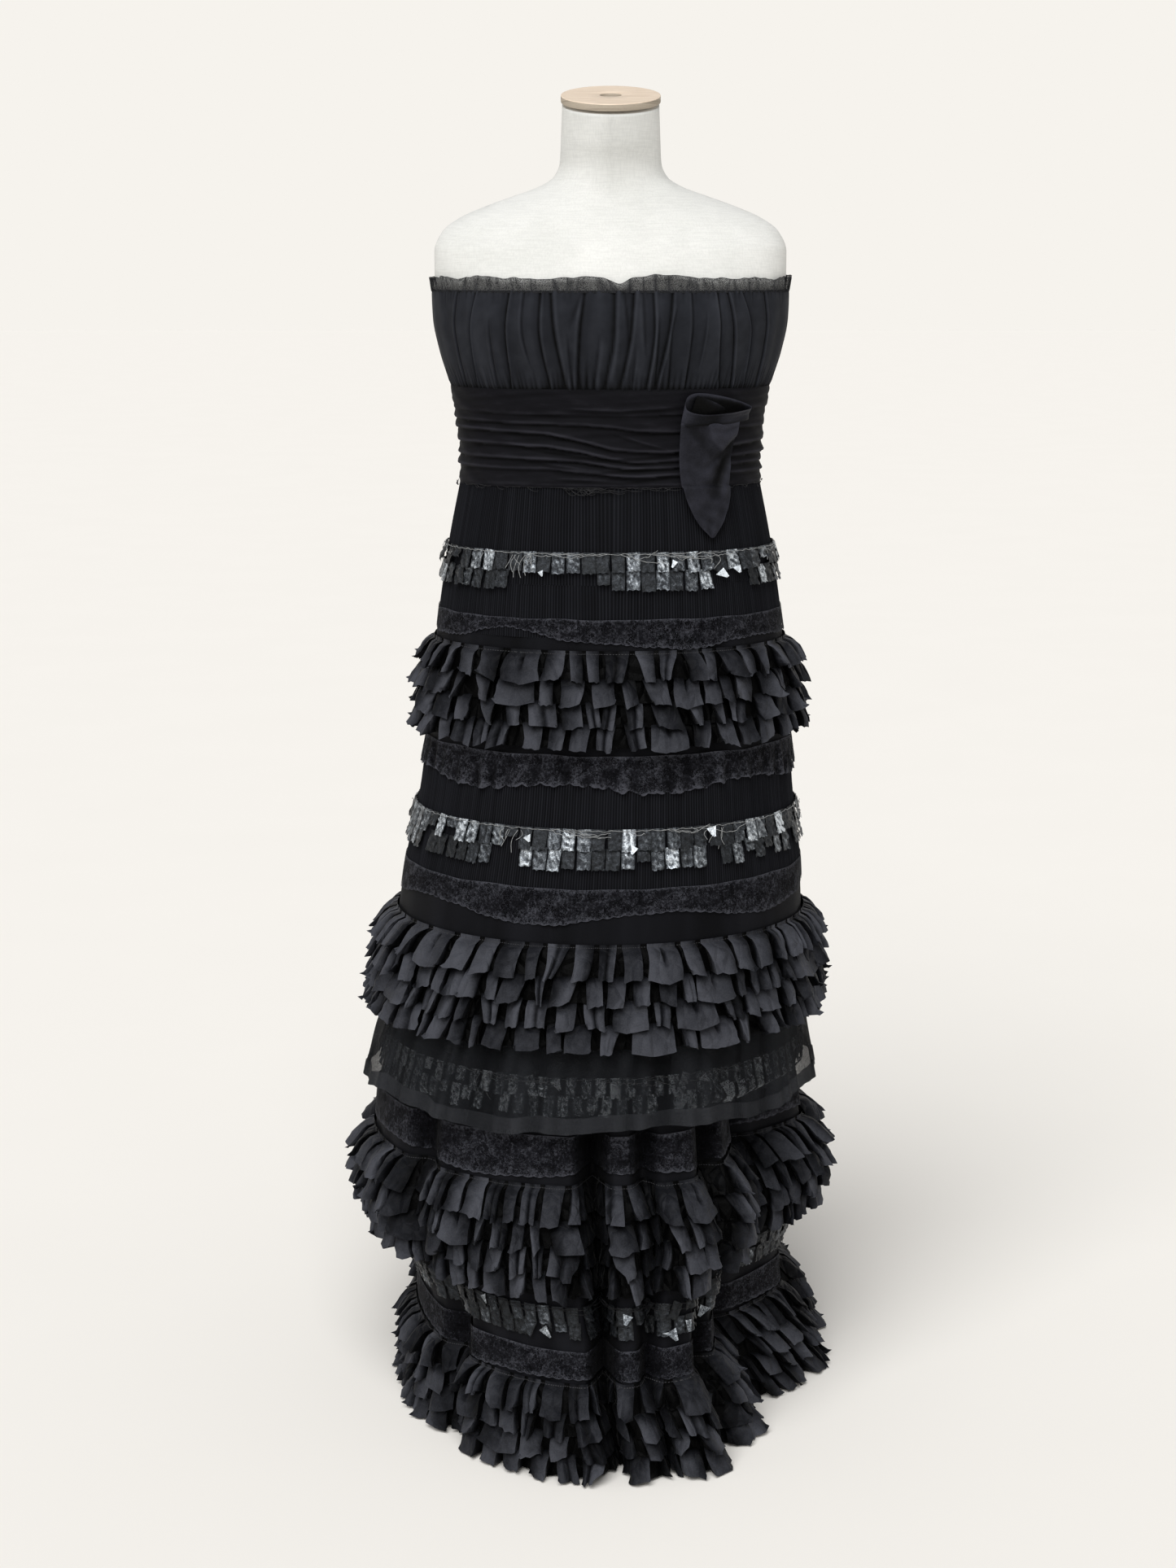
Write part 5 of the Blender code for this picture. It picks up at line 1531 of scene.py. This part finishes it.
def make_trims():
    for i, band in enumerate(UPPER_LACE):
        make_lace(band, skirt, 200 + 10 * i, 0.0045 if i == 1 else 0)
    for i, band in enumerate(LOWER_LACE):
        make_lace(band, underskirt, 240 + 10 * i)
    for i, band in enumerate(UPPER_FOIL):
        make_foil(band, skirt, 300 + 40 * i, 0.85)
    for i, band in enumerate(LOWER_FOIL):
        bright, even = ((1.38, 0.36), (0.40, 0.22))[i]
        make_foil(band, underskirt, 400 + 40 * i, bright, even)
    for panel, tiers in ((skirt, UPPER_TIERS), (underskirt, LOWER_TIERS)):
        for tier in tiers:
            for row in range(4):
                make_ruffle_row(tier, row, panel, 500 + 10 * int(tier.name[-1]) + row)


# The studio

def make_studio():
    scene = bpy.context.scene
    for thing in ("Cube", "Light", "Camera"):
        found = bpy.data.objects.get(thing)
        if found:
            bpy.data.objects.remove(found)
    mesh = bpy.data.meshes.new("floor")
    side = 40.0
    corners = [(-side, -side, 0), (side, -side, 0), (side, side, 0), (-side, side, 0)]
    mesh.from_pydata(corners, [], [(0, 1, 2, 3)])
    floor = bpy.data.objects.new("floor", mesh)
    scene.collection.objects.link(floor)
    paper = Shader("paper_floor", 0.9, Specular_IOR_Level=0.0)
    paper.colour(paper.ramp(paper.noise(3, 3), (0.3, (0.854, 0.831, 0.789)), (0.7, (0.862, 0.839, 0.797))))
    floor.data.materials.append(paper.material)

    world = bpy.data.worlds.new("soft_room")
    scene.world = world
    world.use_nodes = True
    tree = world.node_tree
    back = tree.nodes["Background"]
    place = tree.nodes.new("ShaderNodeTexCoord")
    parts = tree.nodes.new("ShaderNodeSeparateXYZ")
    fade = tree.nodes.new("ShaderNodeValToRGB")
    # Pale at the horizon, like the floor, and dimmer overhead.
    stops = (0.18, (0.9225, 0.8955, 0.8480, 1)), (0.55, (0.24, 0.24, 0.245, 1))
    for element, (position, colour) in zip(fade.color_ramp.elements, stops):
        element.position, element.color = position, colour
    tree.links.new(place.outputs["Generated"], parts.inputs[0])
    tree.links.new(parts.outputs[2], fade.inputs[0])
    tree.links.new(fade.outputs[0], back.inputs["Color"])
    back.inputs["Strength"].default_value = 1.0

    sun = bpy.data.lights.new("key", "SUN")
    sun.energy = 3.0
    sun.angle = math.radians(46)
    key = bpy.data.objects.new("key", sun)
    scene.collection.objects.link(key)
    key.rotation_euler = (math.radians(39), 0, math.radians(-16))

    focal_pixels, photo_height, tilt = 3090, 1927, 12
    data = bpy.data.cameras.new("camera")
    data.sensor_width = 36
    data.lens = focal_pixels / photo_height * data.sensor_width
    data.clip_end = 200
    camera = bpy.data.objects.new("camera", data)
    scene.collection.objects.link(camera)
    camera.location = (-0.0248, -2.85, 1.320)
    camera.rotation_euler = (math.radians(90 - tilt), 0, 0)
    scene.camera = camera
    scene.view_settings.view_transform = "Standard"
    scene.view_settings.look = "None"


make_studio()
make_form()
make_cap()
paint_stand()
make_upper_skirt()
make_lower_skirt()
make_bodice()
make_frill()
make_cummerbund()
make_sash_loop()
make_sash_tail()
make_frayed_edge()
make_overlay()
make_trims()

bpy.context.view_layer.update()
